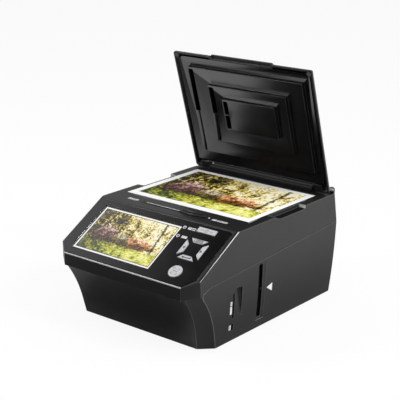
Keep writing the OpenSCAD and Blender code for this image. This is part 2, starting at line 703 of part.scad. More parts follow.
bar_cut_y = hinge_y - bar_r - bar_gap;
bumper_x = lid_half - 4.4;
bumper_y = lid_front_y + 4.4;
grip_half = 44;
grip_in = 3.4;
grip_deep = 3.2;
grip_out = 0.5;
module lid_shell() color([0.1, 0.1, 0.11]) opened() difference() {
    union() {
        difference() {
            lid_form(0, 0, 0);
            lid_form(lid_wall, lid_roof, -1);
        }
        intersection() {
            lid_form(0.2, 0.2, 0);
            union() {
                // Corner bosses of the bumpers, the grip's block, bosses that carry the plate
                both_sides() translate([bumper_x, bumper_y, rim_z + 0.3]) cylinder(r = 4.2, h = lid_t);
                block([-grip_half - 2, lid_front_y, rim_z + 0.6],
                    [grip_half + 2, lid_front_y + grip_in + 1.6, rim_z + lid_t]);
                for (x = [-70, 70], y = [lid_front_y + 30, lid_rear_y - 30])
                    translate([x, y, rim_z + plate_back]) cylinder(r = 4, h = lid_t);
                both_sides() block([bar_half + 0.7, lid_rear_y - 9, rim_z],
                    [bar_half + 0.7 + knuckle_len, lid_rear_y, rim_z + lid_t]);
                block([-bar_half - 4, bar_cut_y - 2, rim_z + 0.5],
                    [bar_half + 4, bar_cut_y, rim_z + lid_t]);
            }
        }
        both_sides() rod_x(knuckle_r, knuckle_len, [bar_half + 0.7 + knuckle_len / 2, hinge_y, hinge_z]);
        // Grip lip, over the finger grip
        translate([0, 0, rim_z + grip_deep]) linear_extrude(1.8) polygon([
            [-grip_half - 2, lid_front_y + 3], [-grip_half, lid_front_y - grip_out],
            [grip_half, lid_front_y - grip_out], [grip_half + 2, lid_front_y + 3]]);
    }
    block([-bar_half - 0.7, bar_cut_y, 0], [bar_half + 0.7, far, far]);
    both_sides() rod_x(pin_r + 0.06, 2 * knuckle_len + 3, [bar_half + 1, hinge_y, hinge_z]);
    both_sides() translate([bumper_x, bumper_y, 0]) cylinder(r = bumper_r + 0.05, h = rim_z + 1.2);
    // Finger grip under the front edge
    translate([0, 0, rim_z - 5]) linear_extrude(5 + grip_deep) polygon([
        [-grip_half, lid_front_y - 5], [-grip_half, lid_front_y + 1],
        [-grip_half + 2, lid_front_y + grip_in], [grip_half - 2, lid_front_y + grip_in],
        [grip_half, lid_front_y + 1], [grip_half, lid_front_y - 5]]);
}
bumper_r = 2.7;
module lid_bumpers() color([0.35, 0.35, 0.36]) opened() both_sides()
    translate([bumper_x, bumper_y, rim_z - 0.2]) cylinder(r = bumper_r, h = 1.4);

// Pressure plate: three frames inside each other, each one a step that falls away inwards
plate_face = 1;
plate_back = 7.5;
step_deep = 6;
plate_edge = lid_half - lid_wall - 3;
plate_front_y = lid_front_y + lid_wall + 3.2;
plate_rear_y = bar_cut_y - 2.4;
// Frames as half width and distances from the lid's rear edge
frame_out = [lid_half - 16.9, 23.5, lid_len - 18.7];
frame_mid = [lid_half - 43.3, 41.5, lid_len - 39.6];
frame_in = [lid_half - 61.8, 60.2, lid_len - 55.8];
module frame_block(f, g, low, high)
    block([-f[0] + g, lid_rear_y - f[2] + g, rim_z + low], [f[0] - g, lid_rear_y - f[1] - g, rim_z + high]);
// Space of a dish whose mouth is frame a and whose bottom is frame b, from height low to high
module dish(a, b, low, high) translate([0, lid_rear_y, rim_z]) intersection() {
    along_y([[-a[0], low], [a[0], low], [b[0], high], [-b[0], high]]);
    along_x([[-a[2], low], [-a[1], low], [-b[1], high], [-b[2], high]]);
}
function grown(f, g) = [f[0] + g, f[1] - g, f[2] + g];
module lid_plate() color([0.22, 0.22, 0.23]) opened() difference() {
    edge = [plate_edge, lid_rear_y - plate_rear_y, lid_rear_y - plate_front_y];
    union() {
        difference() {
            union() {
                frame_block(edge, 0, 2, 4);
                frame_block(edge, 3.8, 3.5, plate_back);
            }
            dish(edge, frame_out, 1.99, step_deep);
        }
        difference() {
            frame_block(frame_out, 0, plate_face, step_deep + 0.5);
            dish(grown(frame_out, -1.2), frame_mid, plate_face - 0.01, step_deep);
        }
        difference() {
            frame_block(frame_mid, 0, plate_face, step_deep + 0.5);
            dish(grown(frame_mid, -1.2), frame_in, plate_face - 0.01, step_deep);
        }
        difference() {
            frame_block(frame_in, 0, plate_face, step_deep + 0.5);
            dish(grown(frame_in, -1.2), grown(frame_in, -14), plate_face - 0.01, plate_face + 1.2);
        }
    }
    // Slots along the left sides, narrow below the middle
    plate_slot(frame_out[0] - 1, 6, slot_end, frame_out[2] - 2.6);
    plate_slot(frame_mid[0] - 1, 6, slot_end, frame_mid[2] - 2.6);
    plate_slot(frame_in[0] - 1, 6, frame_in[1] + 2, slot_end - 0.5);
    plate_slot(frame_in[0] - 1, 6, slot_end + 1, frame_in[2] - 2.6);
    plate_groove(frame_out[0] - 4.2, frame_out[1] + 1, slot_end + 1);
    plate_groove(frame_mid[0] - 4.2, frame_mid[1] + 1, slot_end + 1);
    both_sides() translate([bumper_x, bumper_y, 0]) {
        cylinder(r = 4.8, h = far);
        linear_extrude(far) polygon([[0, -3], [0, 3.4], [-10, 0.5]]);
    }
}
// Where the wide slots end, from the lid's rear edge
slot_end = 80;
module plate_slot(x, w, t0, t1) block([-x, lid_rear_y - t1, 0], [-x + w, lid_rear_y - t0, far]);
module plate_groove(x, t0, t1) block([-x, lid_rear_y - t1, 0], [-x + 1.4, lid_rear_y - t0, rim_z + 4]);

// ---- Mode selector: knob, carrier under the deck, arm, carriage on two rods ----
carrier_t = 2;
carrier_z = deck_under - loose - carrier_t;
arm_t = 1.5;
arm_half = 8;
arm_y = selector_y + 7;
bridge_z = guide_high.y + 4;
leg_y = guide_high.x + 6;
carriage_low = rod_z - rod_r - 2.5;
module selector_knob() color([0.14, 0.14, 0.15]) translate([knob_x, selector_y, 0]) {
    r = (pow(knob_len / 2, 2) + pow(knob_w / 2, 2)) / knob_w;
    ridge_len = knob_len - 8;
    ridge_r = (pow(ridge_len / 2, 2) + 1.6 * 1.6) / 3.2;
    translate([0, 0, deck_z + 0.2]) linear_extrude(1.3) intersection() {
        translate([0, r - knob_w / 2]) circle(r = r, $fn = 128);
        translate([0, -r + knob_w / 2]) circle(r = r, $fn = 128);
    }
    translate([0, 0, deck_z + 1.4]) linear_extrude(2.4) intersection() {
        translate([0, ridge_r - 1.6]) circle(r = ridge_r, $fn = 128);
        translate([0, -ridge_r + 1.6]) circle(r = ridge_r, $fn = 128);
    }
    block([-9, -slot_w / 2 + loose, carrier_z + carrier_t], [3, slot_w / 2 - loose, deck_z + 0.5]);
}
module selector_carrier() color([0.7, 0.7, 0.68])
    block([knob_x - 22, selector_y - 5, carrier_z], [knob_x + 14, selector_y + 5, carrier_z + carrier_t]);
module mode_arm() color([0.7, 0.71, 0.72]) {
    block([-arm_half, selector_y - 4, carrier_z - arm_t], [knob_x + 12, arm_y, carrier_z]);
    along_x([[arm_y - arm_t, carrier_z], [arm_y, carrier_z], [arm_y, bridge_z + arm_t],
        [leg_y, bridge_z + arm_t], [leg_y, carriage_low + arm_t], [carriage_y0, carriage_low + arm_t],
        [carriage_y0, carriage_low], [leg_y - arm_t, carriage_low], [leg_y - arm_t, bridge_z],
        [arm_y - arm_t, bridge_z]], 2 * arm_half);
}
carriage_y0 = glass_y - rod_half - 5;
carriage_y1 = glass_y + rod_half + 5;
carriage_top = rod_z + rod_r + 2;
lens_x = selector_travel;
module mode_carriage() color([0.12, 0.12, 0.12]) difference() {
    union() {
        block([-18, carriage_y0, carriage_low], [lens_x + 16, carriage_y1, carriage_top]);
        // Wedge behind the mirror
        along_x([[glass_y - 13, carriage_top - 0.5], [glass_y - 13, axis_z + 11],
            [glass_y - 11 - mirror_back, axis_z + 11],
            [glass_y + mirror_foot, axis_z - mirror_foot - mirror_back],
            [glass_y + mirror_foot, carriage_top - 0.5]], mirror_side);
        // Cell of the close-up lens
        block([lens_x - close_lens_r - 5, glass_y - 4, carriage_top - 0.5],
            [lens_x + close_lens_r + 5, glass_y + 4, axis_z + close_lens_r + 3]);
    }
    for (dy = [-rod_half, rod_half]) rod_x(rod_r + 0.06, far, [0, glass_y + dy, rod_z]);
    translate([lens_x, glass_y, axis_z]) rotate([90, 0, 0]) {
        cylinder(r = close_lens_r - 1, h = 20, center = true);
        translate([0, 0, -5]) cylinder(r = close_lens_r + 0.05, h = 6);
    }
}
mirror_foot = 10.5;
mirror_t = 1.4;
mirror_back = mirror_t * root2 / 2;
module photo_mirror() color([0.85, 0.9, 0.95])
    translate([0, glass_y, axis_z]) rotate([-45, 0, 0])
        block([-mirror_side / 2, -mirror_side / 2, -mirror_t / 2],
            [mirror_side / 2, mirror_side / 2, mirror_t / 2]);
module close_up_lens() color([0.8, 0.9, 1, 0.5])
    translate([lens_x, glass_y + 4.6, axis_z]) rotate([90, 0, 0]) cylinder(r = close_lens_r, h = 5);
module guide_rod(dy) color([0.8, 0.8, 0.82]) rod_x(rod_r, 2 * rod_post.y - 4, [0, glass_y + dy, rod_z]);
module guide_rod_front() guide_rod(-rod_half);
module guide_rod_rear() guide_rod(rod_half);

// ---- Camera: a lens in a barrel, on a block, a board and an upright bracket, from front to back ----
camera_block_y = camera_y + 11;
camera_board_y = camera_y + 18.4;
camera_board_t = 1.6;
camera_board_half = 16;
bracket_y = camera_board_y + camera_board_t;
bracket_t = 2;
bracket_half = 20;
camera_lens_r = 5;
module camera_bracket() color([0.6, 0.6, 0.62]) {
    block([-bracket_half, bracket_y - 14, floor_z], [bracket_half, bracket_y + 8, floor_z + bracket_t]);
    difference() {
        block([-bracket_half, bracket_y, floor_z],
            [bracket_half, bracket_y + bracket_t, axis_z + bracket_half]);
        translate([0, bracket_y + 1, axis_z]) rotate([90, 0, 0]) cylinder(r = 6, h = 10, center = true);
    }
}
module camera_board() color([0.1, 0.35, 0.2])
    block([-camera_board_half, camera_board_y, axis_z - camera_board_half],
        [camera_board_half, bracket_y, axis_z + camera_board_half]);
module camera_body() color([0.08, 0.08, 0.08]) difference() {
    union() {
        block([-9, camera_block_y, axis_z - 9], [9, camera_board_y, axis_z + 9]);
        translate([0, camera_y, axis_z]) rotate([-90, 0, 0]) cylinder(r = camera_lens_r + 2, h = 12);
    }
    translate([0, camera_y - 1, axis_z]) rotate([-90, 0, 0]) cylinder(r = camera_lens_r + 0.05, h = 4);
    translate([0, camera_y, axis_z]) rotate([-90, 0, 0]) cylinder(r = camera_lens_r - 2, h = 17);
}
module camera_lens() color([0.3, 0.35, 0.5, 0.6])
    translate([0, camera_y + 0.4, axis_z]) rotate([-90, 0, 0]) cylinder(r = camera_lens_r, h = 2.6);

// ---- Film path ----
module film_guide() color([0.1, 0.1, 0.1]) difference() {
    block([-guide_half, guide_low.x, guide_low.y], [guide_half, guide_high.x, guide_high.y]);
    block([-far, film_y - film_w / 2, film_z], [far, film_y + film_w / 2, film_z + film_h]);
    block([-window_half, guide_low.x - 5, axis_z - window_z],
        [window_half, guide_high.x + 5, axis_z + window_z]);
}
// The light box stands in front of the guide: its hollow holds a lamp board, and a diffuser at its mouth
box_y = guide_low.x - 12;
box_wall = 2;
box_half = 24;
box_high = 17;
module film_light_box() color([0.9, 0.9, 0.9]) difference() {
    block([-box_half - box_wall, box_y, floor_z],
        [box_half + box_wall, guide_low.x, axis_z + box_high + 3]);
    block([-box_half, box_y + box_wall, axis_z - box_high], [box_half, far, axis_z + box_high]);
}
module film_diffuser() color([1, 1, 1, 0.7])
    block([-box_half, guide_low.x - 2, axis_z - box_high], [box_half, guide_low.x - 0.2, axis_z + box_high]);
module film_light_board() color([0.9, 0.92, 0.95])
    block([-box_half, box_y + box_wall, axis_z - box_high],
        [box_half, box_y + box_wall + 1.6, axis_z + box_high]);

// ---- Photo lights on both side walls ----
light_y = [glass_y - 50, glass_y + 50];
light_z = [deck_z - 26.7, deck_z - 16.7];
light_t = 3;
light_pitch = 10;
module photo_light(side) color([0.8, 0.8, 0.8])
    block([min(side * (inner_half - light_t), side * inner_half), light_y[0], light_z[0]],
        [max(side * (inner_half - light_t), side * inner_half), light_y[1], light_z[1]]);
module photo_light_left() photo_light(-1);
module photo_light_right() photo_light(1);
module photo_leds() color([1, 0.95, 0.6]) both_sides()
    for (y = [light_y[0] + 4 : light_pitch : light_y[1] - 4])
        block([inner_half - light_t - 0.9, y, light_z[0] + 3],
            [inner_half - light_t, y + 3.5, light_z[1] - 3]);

// ---- Boards ----
module main_board() color([0.05, 0.35, 0.2]) difference() {
    block(board_low, board_high);
    at_board_posts() cylinder(r = 1.2, h = far);
}
module board_screws() color([0.75, 0.75, 0.76]) at_board_posts() {
    translate([0, 0, board_high.z]) cylinder(r = 2.2, h = 1.4);
    translate([0, 0, floor_z + 1]) cylinder(r = 0.85, h = board_high.z - floor_z - 0.9);
}
// Each chip: middle from the board's front left corner, width, depth and height
chips = [[32, 35, 18, 18, 1.8], [62, 37, 12, 10, 1.4], [62, 19, 12, 10, 1.4], [88, 31, 8, 14, 3],
    [14, 45, 6, 6, 5], [14, 17, 6, 6, 5], [50, 51, 20, 4, 3]];
module board_chips() color([0.12, 0.12, 0.13]) for (c = chips)
    translate([board_low.x + c[0] - c[2] / 2, board_low.y + c[1] - c[3] / 2, board_high.z])
        cube([c[2], c[3], c[4]]);
module side_board() color([0.05, 0.35, 0.2])
    block([side_board_x[0], side_board_y, port_z - 6],
        [side_board_x[1], side_board_y + side_board_t, card_z + card_h + 3]);
module card_socket() color([0.75, 0.75, 0.77]) difference() {
    block([socket_x(card_z) - 33, card_y - card_w / 2 - 0.6, card_z - 1],
        [socket_x(card_z) - 0.4, side_board_y, card_z + card_h + 1]);
    block([socket_x(card_z) - 29, card_y - card_w / 2, card_z],
        [far, card_y + card_w / 2, card_z + card_h]);
}
module port_socket() color([0.78, 0.78, 0.8]) difference() {
    block([socket_x(port_z) - 16, card_y - port_w / 2 - 0.5, port_z - 0.5],
        [socket_x(port_z) - 0.2, side_board_y, port_z + port_h + 0.5]);
    block([socket_x(port_z) - 13, card_y - port_w / 2, port_z],
        [far, card_y + port_w / 2 - 0.4, port_z + port_h]);
}

lower_case();
upper_case();
rubber_feet();
case_screws();
panel_bezel();
screen_window();
screen_module();
panel_frame();
key_board();
key_switches();
indicator_leds();
light_pipes();
power_key();
menu_key();
left_key();
right_key();
enter_key();
scan_key();
platen_glass();
glass_gasket();
photo_print();
hinge_bar();
hinge_pin_left();
hinge_pin_right();
lid_shell();
lid_plate();
lid_bumpers();
selector_knob();
selector_carrier();
mode_arm();
mode_carriage();
photo_mirror();
close_up_lens();
guide_rod_front();
guide_rod_rear();
camera_bracket();
camera_board();
camera_body();
camera_lens();
film_guide();
film_light_box();
film_diffuser();
film_light_board();
photo_light_left();
photo_light_right();
photo_leds();
main_board();
board_screws();
board_chips();
side_board();
card_socket();
port_socket();
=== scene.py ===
import json
import math

import bmesh
import bpy
import numpy as np
from mathutils.bvhtree import BVHTree
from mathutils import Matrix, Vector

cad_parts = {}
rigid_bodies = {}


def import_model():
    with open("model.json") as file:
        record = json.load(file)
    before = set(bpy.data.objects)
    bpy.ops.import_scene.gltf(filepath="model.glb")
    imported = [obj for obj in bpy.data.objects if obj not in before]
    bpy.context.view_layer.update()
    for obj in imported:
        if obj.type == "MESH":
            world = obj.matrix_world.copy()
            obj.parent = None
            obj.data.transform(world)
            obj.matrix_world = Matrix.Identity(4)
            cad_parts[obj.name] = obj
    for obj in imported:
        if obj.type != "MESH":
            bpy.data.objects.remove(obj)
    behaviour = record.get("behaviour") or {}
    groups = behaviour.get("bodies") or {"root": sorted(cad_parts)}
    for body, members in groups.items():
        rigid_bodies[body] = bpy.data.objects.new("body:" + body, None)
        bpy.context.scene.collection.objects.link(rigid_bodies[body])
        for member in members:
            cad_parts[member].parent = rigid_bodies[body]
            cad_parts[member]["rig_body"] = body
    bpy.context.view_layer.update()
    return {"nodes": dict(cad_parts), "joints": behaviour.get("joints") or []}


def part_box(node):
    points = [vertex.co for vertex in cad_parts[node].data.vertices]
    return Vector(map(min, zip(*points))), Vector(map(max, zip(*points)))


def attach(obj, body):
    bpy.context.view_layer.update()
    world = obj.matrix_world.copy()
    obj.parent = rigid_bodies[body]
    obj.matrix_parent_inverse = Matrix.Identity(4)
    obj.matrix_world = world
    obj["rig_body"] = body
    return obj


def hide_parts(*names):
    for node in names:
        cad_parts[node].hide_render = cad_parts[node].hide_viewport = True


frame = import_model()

MM = 0.001
bpy.context.scene.view_settings.view_transform = "Standard"


# ---- Camera ----
# A long lens without roll looks down on the scanner's front right corner. Its place and turn are fixed, and it
# has no shift and no depth of field.
view_azimuth = math.radians(39.707)
view_elevation = math.radians(17.19)
camera_place = (0.7946, -0.9570, 0.5110)
lens_mm, sensor_mm = 102.70, 36.0
camera_data = bpy.data.cameras.new("camera")
camera_data.lens, camera_data.sensor_width = lens_mm, sensor_mm
camera_data.clip_start, camera_data.clip_end = 0.05, 50.0
camera = bpy.data.objects.new("camera", camera_data)
camera.location = camera_place
camera.rotation_euler = (math.pi / 2 - view_elevation, 0.0, view_azimuth)
bpy.context.scene.collection.objects.link(camera)
bpy.context.scene.camera = camera


# ---- Studio: table, room and lamps ----
# A white table in a white room, which the camera and clear pieces see as plain white. All other rays see the
# table's front part, the room's front and the ceiling dim, so that flat gloss has something dark to reflect:
# painted shade on the table. A strip of the table beside the right side is dimmed too, as a painted shadow of the
# object.
# On the left the table glows for glossy rays instead of taking the object's shadow: a painted light.
def add_node(tree, kind, inputs=(), **settings):
    """One shader node: inputs are (socket, value or output) pairs, settings are its own fields."""
    made = tree.nodes.new(kind)
    for field, value in settings.items():
        setattr(made, field, value)
    for socket, value in inputs:
        if isinstance(value, bpy.types.NodeSocket):
            tree.links.new(value, made.inputs[socket])
        else:
            made.inputs[socket].default_value = value
    return made


def calc(tree, operation, *values):
    """The result of one Math node."""
    return add_node(tree, "ShaderNodeMath", list(enumerate(values)), operation=operation).outputs[0]


def spread(tree, value, start, end, low, high, kind="SMOOTHSTEP"):
    """Runs from low to high as the value goes from start to end, and stays there outside."""
    return add_node(tree, "ShaderNodeMapRange", [
        ("Value", value), ("From Min", start), ("From Max", end), ("To Min", low), ("To Max", high)],
        interpolation_type=kind).outputs[0]


def tint(tree, share, first, second):
    """A colour between two others."""
    colours = [(*c, 1.0) if isinstance(c, tuple) else c for c in (first, second)]
    return add_node(tree, "ShaderNodeMix", [(0, share), (6, colours[0]), (7, colours[1])],
                    data_type="RGBA").outputs[2]


def blend(tree, share, first, second):
    """A number between two others."""
    return add_node(tree, "ShaderNodeMix", [(0, share), (2, first), (3, second)],
                    data_type="FLOAT").outputs[0]


def background_rays(tree):
    """1 for the rays that show the plain background: the camera's, and those through clear pieces."""
    path = add_node(tree, "ShaderNodeLightPath").outputs
    return calc(tree, "MAXIMUM", path["Is Camera Ray"], path["Is Transmission Ray"])


floor_half = 4.0
floor_mesh = bpy.data.meshes.new("floor")
floor_corners = [(-floor_half, -floor_half, 0), (floor_half, -floor_half, 0), (floor_half, floor_half, 0),
                 (-floor_half, floor_half, 0)]
floor_mesh.from_pydata(floor_corners, [], [(0, 1, 2, 3)])
floor = bpy.data.objects.new("floor", floor_mesh)
bpy.context.scene.collection.objects.link(floor)
floor_finish = bpy.data.materials.new("floor_white")
floor_finish.use_nodes = True
tree = floor_finish.node_tree
tree.nodes.clear()
floor_white, floor_dim, floor_far = (0.92, 0.92, 0.92), (0.065, 0.065, 0.065), (0.20, 0.20, 0.20)
front_start, front_end = -0.09, -0.14
front_shift_right, front_shift_left = (0.04, 0.44, 0.0, 0.32), (-0.10, -0.50, 0.0, 0.28)
far_start, far_end = -0.18, -0.26
beside_start, beside_end, beside_share = 0.24, 0.11, 0.6
right_start, right_end = 0.05, 0.12
left_start, left_end = -0.15, -0.24
seen_floor = 0.90  # the rest is lit paint, which takes the object's shadow
rays = background_rays(tree)
in_gloss = add_node(tree, "ShaderNodeLightPath").outputs["Is Glossy Ray"]
place = add_node(tree, "ShaderNodeSeparateXYZ", [
    (0, add_node(tree, "ShaderNodeTexCoord").outputs["Object"])])
floor_x, floor_y = place.outputs[0], place.outputs[1]
to_side = calc(tree, "ADD", spread(tree, floor_x, *front_shift_right, "LINEAR"),
               spread(tree, floor_x, *front_shift_left, "LINEAR"))
in_front = spread(tree, calc(tree, "ADD", floor_y, to_side), front_start, front_end, 0.0, 1.0)
far_dim = tint(tree, spread(tree, floor_y, far_start, far_end, 0.0, 1.0), floor_dim, floor_far)
beside = spread(tree, floor_x, beside_start, beside_end, 0.0, beside_share)
right = spread(tree, floor_x, right_start, right_end, 0.0, 1.0)
# painted shade on the table: its front part, and a strip beside the right side as the object's shadow
floor_painted_shade = calc(tree, "MAXIMUM", in_front, calc(tree, "MULTIPLY", beside, right))
colour = tint(tree, rays, tint(tree, floor_painted_shade, floor_white, far_dim), floor_white)
paint = add_node(tree, "ShaderNodeBsdfDiffuse", [("Color", colour)])
glow = add_node(tree, "ShaderNodeEmission", [("Color", tint(tree, rays, colour, (1.0, 1.0, 1.0)))])
# painted light: for glossy rays the table's left part glows, without the object's shadow
left_painted_glow = calc(tree, "MULTIPLY", in_gloss, spread(tree, floor_x, left_start, left_end, 0.0, 1.0))
mixed = add_node(tree, "ShaderNodeMixShader", [
    (0, calc(tree, "MAXIMUM", calc(tree, "MULTIPLY", rays, seen_floor), left_painted_glow)), (1, paint.outputs[0]),
    (2, glow.outputs[0])])
add_node(tree, "ShaderNodeOutputMaterial", [("Surface", mixed.outputs[0])])
floor_mesh.materials.append(floor_finish)

wall_level, right_level, back_level, front_level, ceiling_level = 1.15, 1.6, 0.45, 0.15, 0.03
back_start, back_end = 0.40, 0.62
side_start, side_end = -0.2, 0.3
room_front_start, room_front_end = -0.15, -0.6
ceiling_start, ceiling_full = math.sin(math.radians(46)), math.sin(math.radians(54))
world = bpy.data.worlds.new("studio")
bpy.context.scene.world = world
world.use_nodes = True
tree = world.node_tree
tree.nodes.clear()
direction = add_node(tree, "ShaderNodeSeparateXYZ", [
    (0, add_node(tree, "ShaderNodeTexCoord").outputs["Generated"])])
to_right, to_back, to_top = direction.outputs
walls = spread(tree, to_back, back_start, back_end, wall_level, back_level)
walls = blend(tree, spread(tree, to_right, side_start, side_end, 0.0, 1.0), walls, right_level)
room_front = spread(tree, to_back, room_front_start, room_front_end, 1.0, front_level)
walls = calc(tree, "MULTIPLY", walls, room_front)
level = blend(tree, spread(tree, to_top, ceiling_start, ceiling_full, 0.0, 1.0), walls, ceiling_level)
seen = blend(tree, background_rays(tree), level, 1.0)
light = add_node(tree, "ShaderNodeBackground", [("Color", (1, 1, 1, 1)), ("Strength", seen)])
add_node(tree, "ShaderNodeOutputWorld", [("Surface", light.outputs[0])])


def add_lamp(name, direction, distance, size, radiance, in_gloss):
    """A square soft lamp that faces the object; in_gloss says whether reflections show it."""
    data = bpy.data.lights.new(name, "AREA")
    data.shape, data.size, data.energy = "SQUARE", size, radiance * math.pi * size ** 2
    lamp = bpy.data.objects.new(name, data)
    outward = Vector(direction).normalized()
    lamp.location = lamp_aim + outward * distance
    lamp.rotation_euler = outward.to_track_quat("Z", "Y").to_euler()
    lamp.visible_glossy = in_gloss
    bpy.context.scene.collection.objects.link(lamp)


lamp_aim = Vector((0.0, -0.03, 0.10))
add_lamp("edge_lamp", (-0.61, -0.42, 0.67), 1.6, 0.40, 14.0, True)
add_lamp("key_lamp", (0.70, 0.11, 0.70), 1.6, 0.35, 20.0, True)
add_lamp("top_lamp", (0.10, -0.10, 1.0), 1.8, 1.2, 2.2, False)


# ---- Case halves ----
# Two moulded shells of black ABS with a fine spark-eroded grain: the tub below the parting line and the hood
# above it. They are screwed together from below, and the hood carries the panel, the glass and the lid.
def new_finish(name, colour, roughness, **sockets):
    """A material with one Principled shader, whose constants are set on its own sockets."""
    finish = bpy.data.materials.new(name)
    finish.use_nodes = True
    shader = finish.node_tree.nodes["Principled BSDF"]
    shader.inputs["Base Color"].default_value = (*colour, 1.0)
    shader.inputs["Roughness"].default_value = roughness
    for socket, value in sockets.items():
        shader.inputs[socket.replace("_", " ")].default_value = value
    return finish, finish.node_tree, shader


def add_grain(tree, shader, cell, depth):
    """Moulded grain: noise with cells of a given size raises the surface by a given depth, in metres."""
    place = add_node(tree, "ShaderNodeTexCoord").outputs["Object"]
    noise = add_node(tree, "ShaderNodeTexNoise", [
        ("Vector", place), ("Scale", 1.0 / cell), ("Detail", 3.0), ("Roughness", 0.55)])
    bump = add_node(tree, "ShaderNodeBump", [("Height", noise.outputs["Fac"]), ("Distance", depth)])
    tree.links.new(bump.outputs[0], shader.inputs["Normal"])


def add_drift(tree, shader, patch, colours, roughness):
    """Slow change: noise with wide patches runs the colour and the roughness between two values each."""
    place = add_node(tree, "ShaderNodeTexCoord").outputs["Object"]
    noise = add_node(tree, "ShaderNodeTexNoise", [
        ("Vector", place), ("Scale", 1.0 / patch), ("Detail", 4.0), ("Roughness", 0.6)]).outputs["Fac"]
    tree.links.new(tint(tree, noise, *colours), shader.inputs["Base Color"])
    tree.links.new(spread(tree, noise, 0.3, 0.7, *roughness, kind="LINEAR"), shader.inputs["Roughness"])


def moulded_plastic(name, dark, light, roughness, cell, depth):
    """Grained plastic whose colour and gloss drift a little."""
    finish, tree, shader = new_finish(name, dark, roughness[0])
    add_drift(tree, shader, 0.05, (dark, light), roughness)
    add_grain(tree, shader, cell, depth)
    return finish


def rounded_copy(node, radius, finish, segments=2, edge_finish=None, more=(), choose=None, highlight_edge=None):
    """A CAD node's triangles merged into whole faces, whose sharp edges get a small round in the edge finish.

    choose(normals, middles) gives each face its number in finish, edge_finish, *more.
    The last predicate picks the edges at the cut corners that get a wider round in the edge finish, whose lighter
    colour there is a painted highlight."""
    sharp_angle = math.radians(30)
    source = frame["nodes"][node]
    mesh = source.data.copy()
    work = bmesh.new()
    work.from_mesh(mesh)
    bmesh.ops.remove_doubles(work, verts=work.verts, dist=0.002 * MM)
    bmesh.ops.dissolve_limit(work, angle_limit=math.radians(0.1), verts=work.verts, edges=work.edges)
    for face in work.faces:
        face.material_index = 0
    if highlight_edge:
        bmesh.ops.bevel(work, geom=[edge for edge in work.edges if highlight_edge(edge)], offset=highlight_width, segments=3,
                        profile=0.5, affect="EDGES", clamp_overlap=True, material=1)
    mesh.materials.clear()
    work.to_mesh(mesh)
    work.free()
    mesh.materials.append(finish)
    mesh.shade_smooth()
    mesh.set_sharp_from_angle(angle=sharp_angle)
    for extra in ([edge_finish] if edge_finish else []) + list(more):
        mesh.materials.append(extra)
    if choose:
        normals, centres = np.empty((2, len(mesh.polygons) * 3), np.float32)
        mesh.polygons.foreach_get("normal", normals)
        mesh.polygons.foreach_get("center", centres)
        kept = np.empty(len(mesh.polygons), np.int32)
        mesh.polygons.foreach_get("material_index", kept)
        chosen = choose(normals.reshape(-1, 3), centres.reshape(-1, 3)).astype(np.int32)
        mesh.polygons.foreach_set("material_index", np.maximum(kept, chosen))
    piece = bpy.data.objects.new(node + "_finished", mesh)
    bpy.context.scene.collection.objects.link(piece)
    bevel = piece.modifiers.new("soft_edges", "BEVEL")
    bevel.width, bevel.segments = radius, segments
    bevel.limit_method, bevel.angle_limit = "ANGLE", sharp_angle
    bevel.use_clamp_overlap = False
    bevel.material = 1 if edge_finish else -1
    bevel.miter_outer = "MITER_SHARP"
    even = piece.modifiers.new("even_normals", "WEIGHTED_NORMAL")
    even.keep_sharp = True
    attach(piece, source["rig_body"])
    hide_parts(node)


case_black = moulded_plastic("case_black", (0.008, 0.008, 0.008), (0.011, 0.011, 0.011), (0.36, 0.44),
                             0.35 * MM, 0.012 * MM)
# Much lighter than the case on its rounded edges: a painted highlight. The lower roughness is the edges' polish.
case_edge_painted_highlight = moulded_plastic("case_edge_painted_highlight", (0.060, 0.060, 0.062), (0.075, 0.075, 0.077),
                                  (0.20, 0.26), 0.35 * MM, 0.003 * MM)
# Pale grey on the lip's faces between the front and the slope: a painted highlight.
lip_painted_highlight = moulded_plastic("lip_painted_highlight", (0.50, 0.50, 0.505), (0.60, 0.60, 0.605), (0.26, 0.34),
                            0.35 * MM, 0.004 * MM)


def first_hit(node, start, direction):
    """Where a ray from the start first meets a CAD node."""
    mesh = frame["nodes"][node].data
    tree = BVHTree.FromPolygons([v.co for v in mesh.vertices], [tuple(p.vertices) for p in mesh.polygons])
    return tree.ray_cast(Vector(start), Vector(direction))[0]


deck_high = first_hit("upper_case", (-0.065, -0.042, 0.3), (0, 0, -1)).z
glass_low, glass_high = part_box("platen_glass")
knob_low, knob_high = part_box("selector_knob")
selector_y = (knob_low[1] + knob_high[1]) / 2
slot_half, slot_long, recess_deep = 1.8 * MM, 62 * MM, 5 * MM


def hood_faces(normals, middles):
    """Material 2, a pale grey painted highlight, for the faces between the upright front and the panel's slope,
    which turn forwards and up, 3 for the rounds along the slope's two sides, which turn outwards at right angles
    to its fall, and 4, a painted shade, for the selector slot's walls and the floors and inner walls of the finger
    notches, which lie just under the deck."""
    sideways = np.abs(normals[:, 0])
    lip = (normals[:, 1] < -0.56) & (normals[:, 2] > 0.08) & (sideways < 0.2)
    rounds = (np.abs(normals @ slope_fall) < 0.02) & (sideways > 0.5) & (sideways < 0.87)
    rounds &= normals[:, 2] > 0.1
    depth = deck_high - middles[:, 2]
    under_deck = (depth > 0.3 * MM) & (depth < recess_deep)
    slot = (np.abs(middles[:, 1] - selector_y) < slot_half) & (np.abs(middles[:, 0]) < slot_long)
    notch = (np.abs(middles[:, 0]) > glass_high[0] + 1 * MM) & (middles[:, 1] > glass_low[1])
    notch &= (middles[:, 1] < glass_high[1]) & (np.abs(normals[:, 1]) < 0.2)
    notch &= (normals[:, 2] > 0.9) | (normals[:, 0] * middles[:, 0] < 0)
    painted_shade_faces = under_deck & (notch | (slot & (np.abs(normals[:, 2]) < 0.9)))
    return np.where(painted_shade_faces, 4, np.where(lip, 2, np.where(rounds, 3, 0)))


corner_out, corner_rear, corner_top = 0.094, -0.085, 0.081


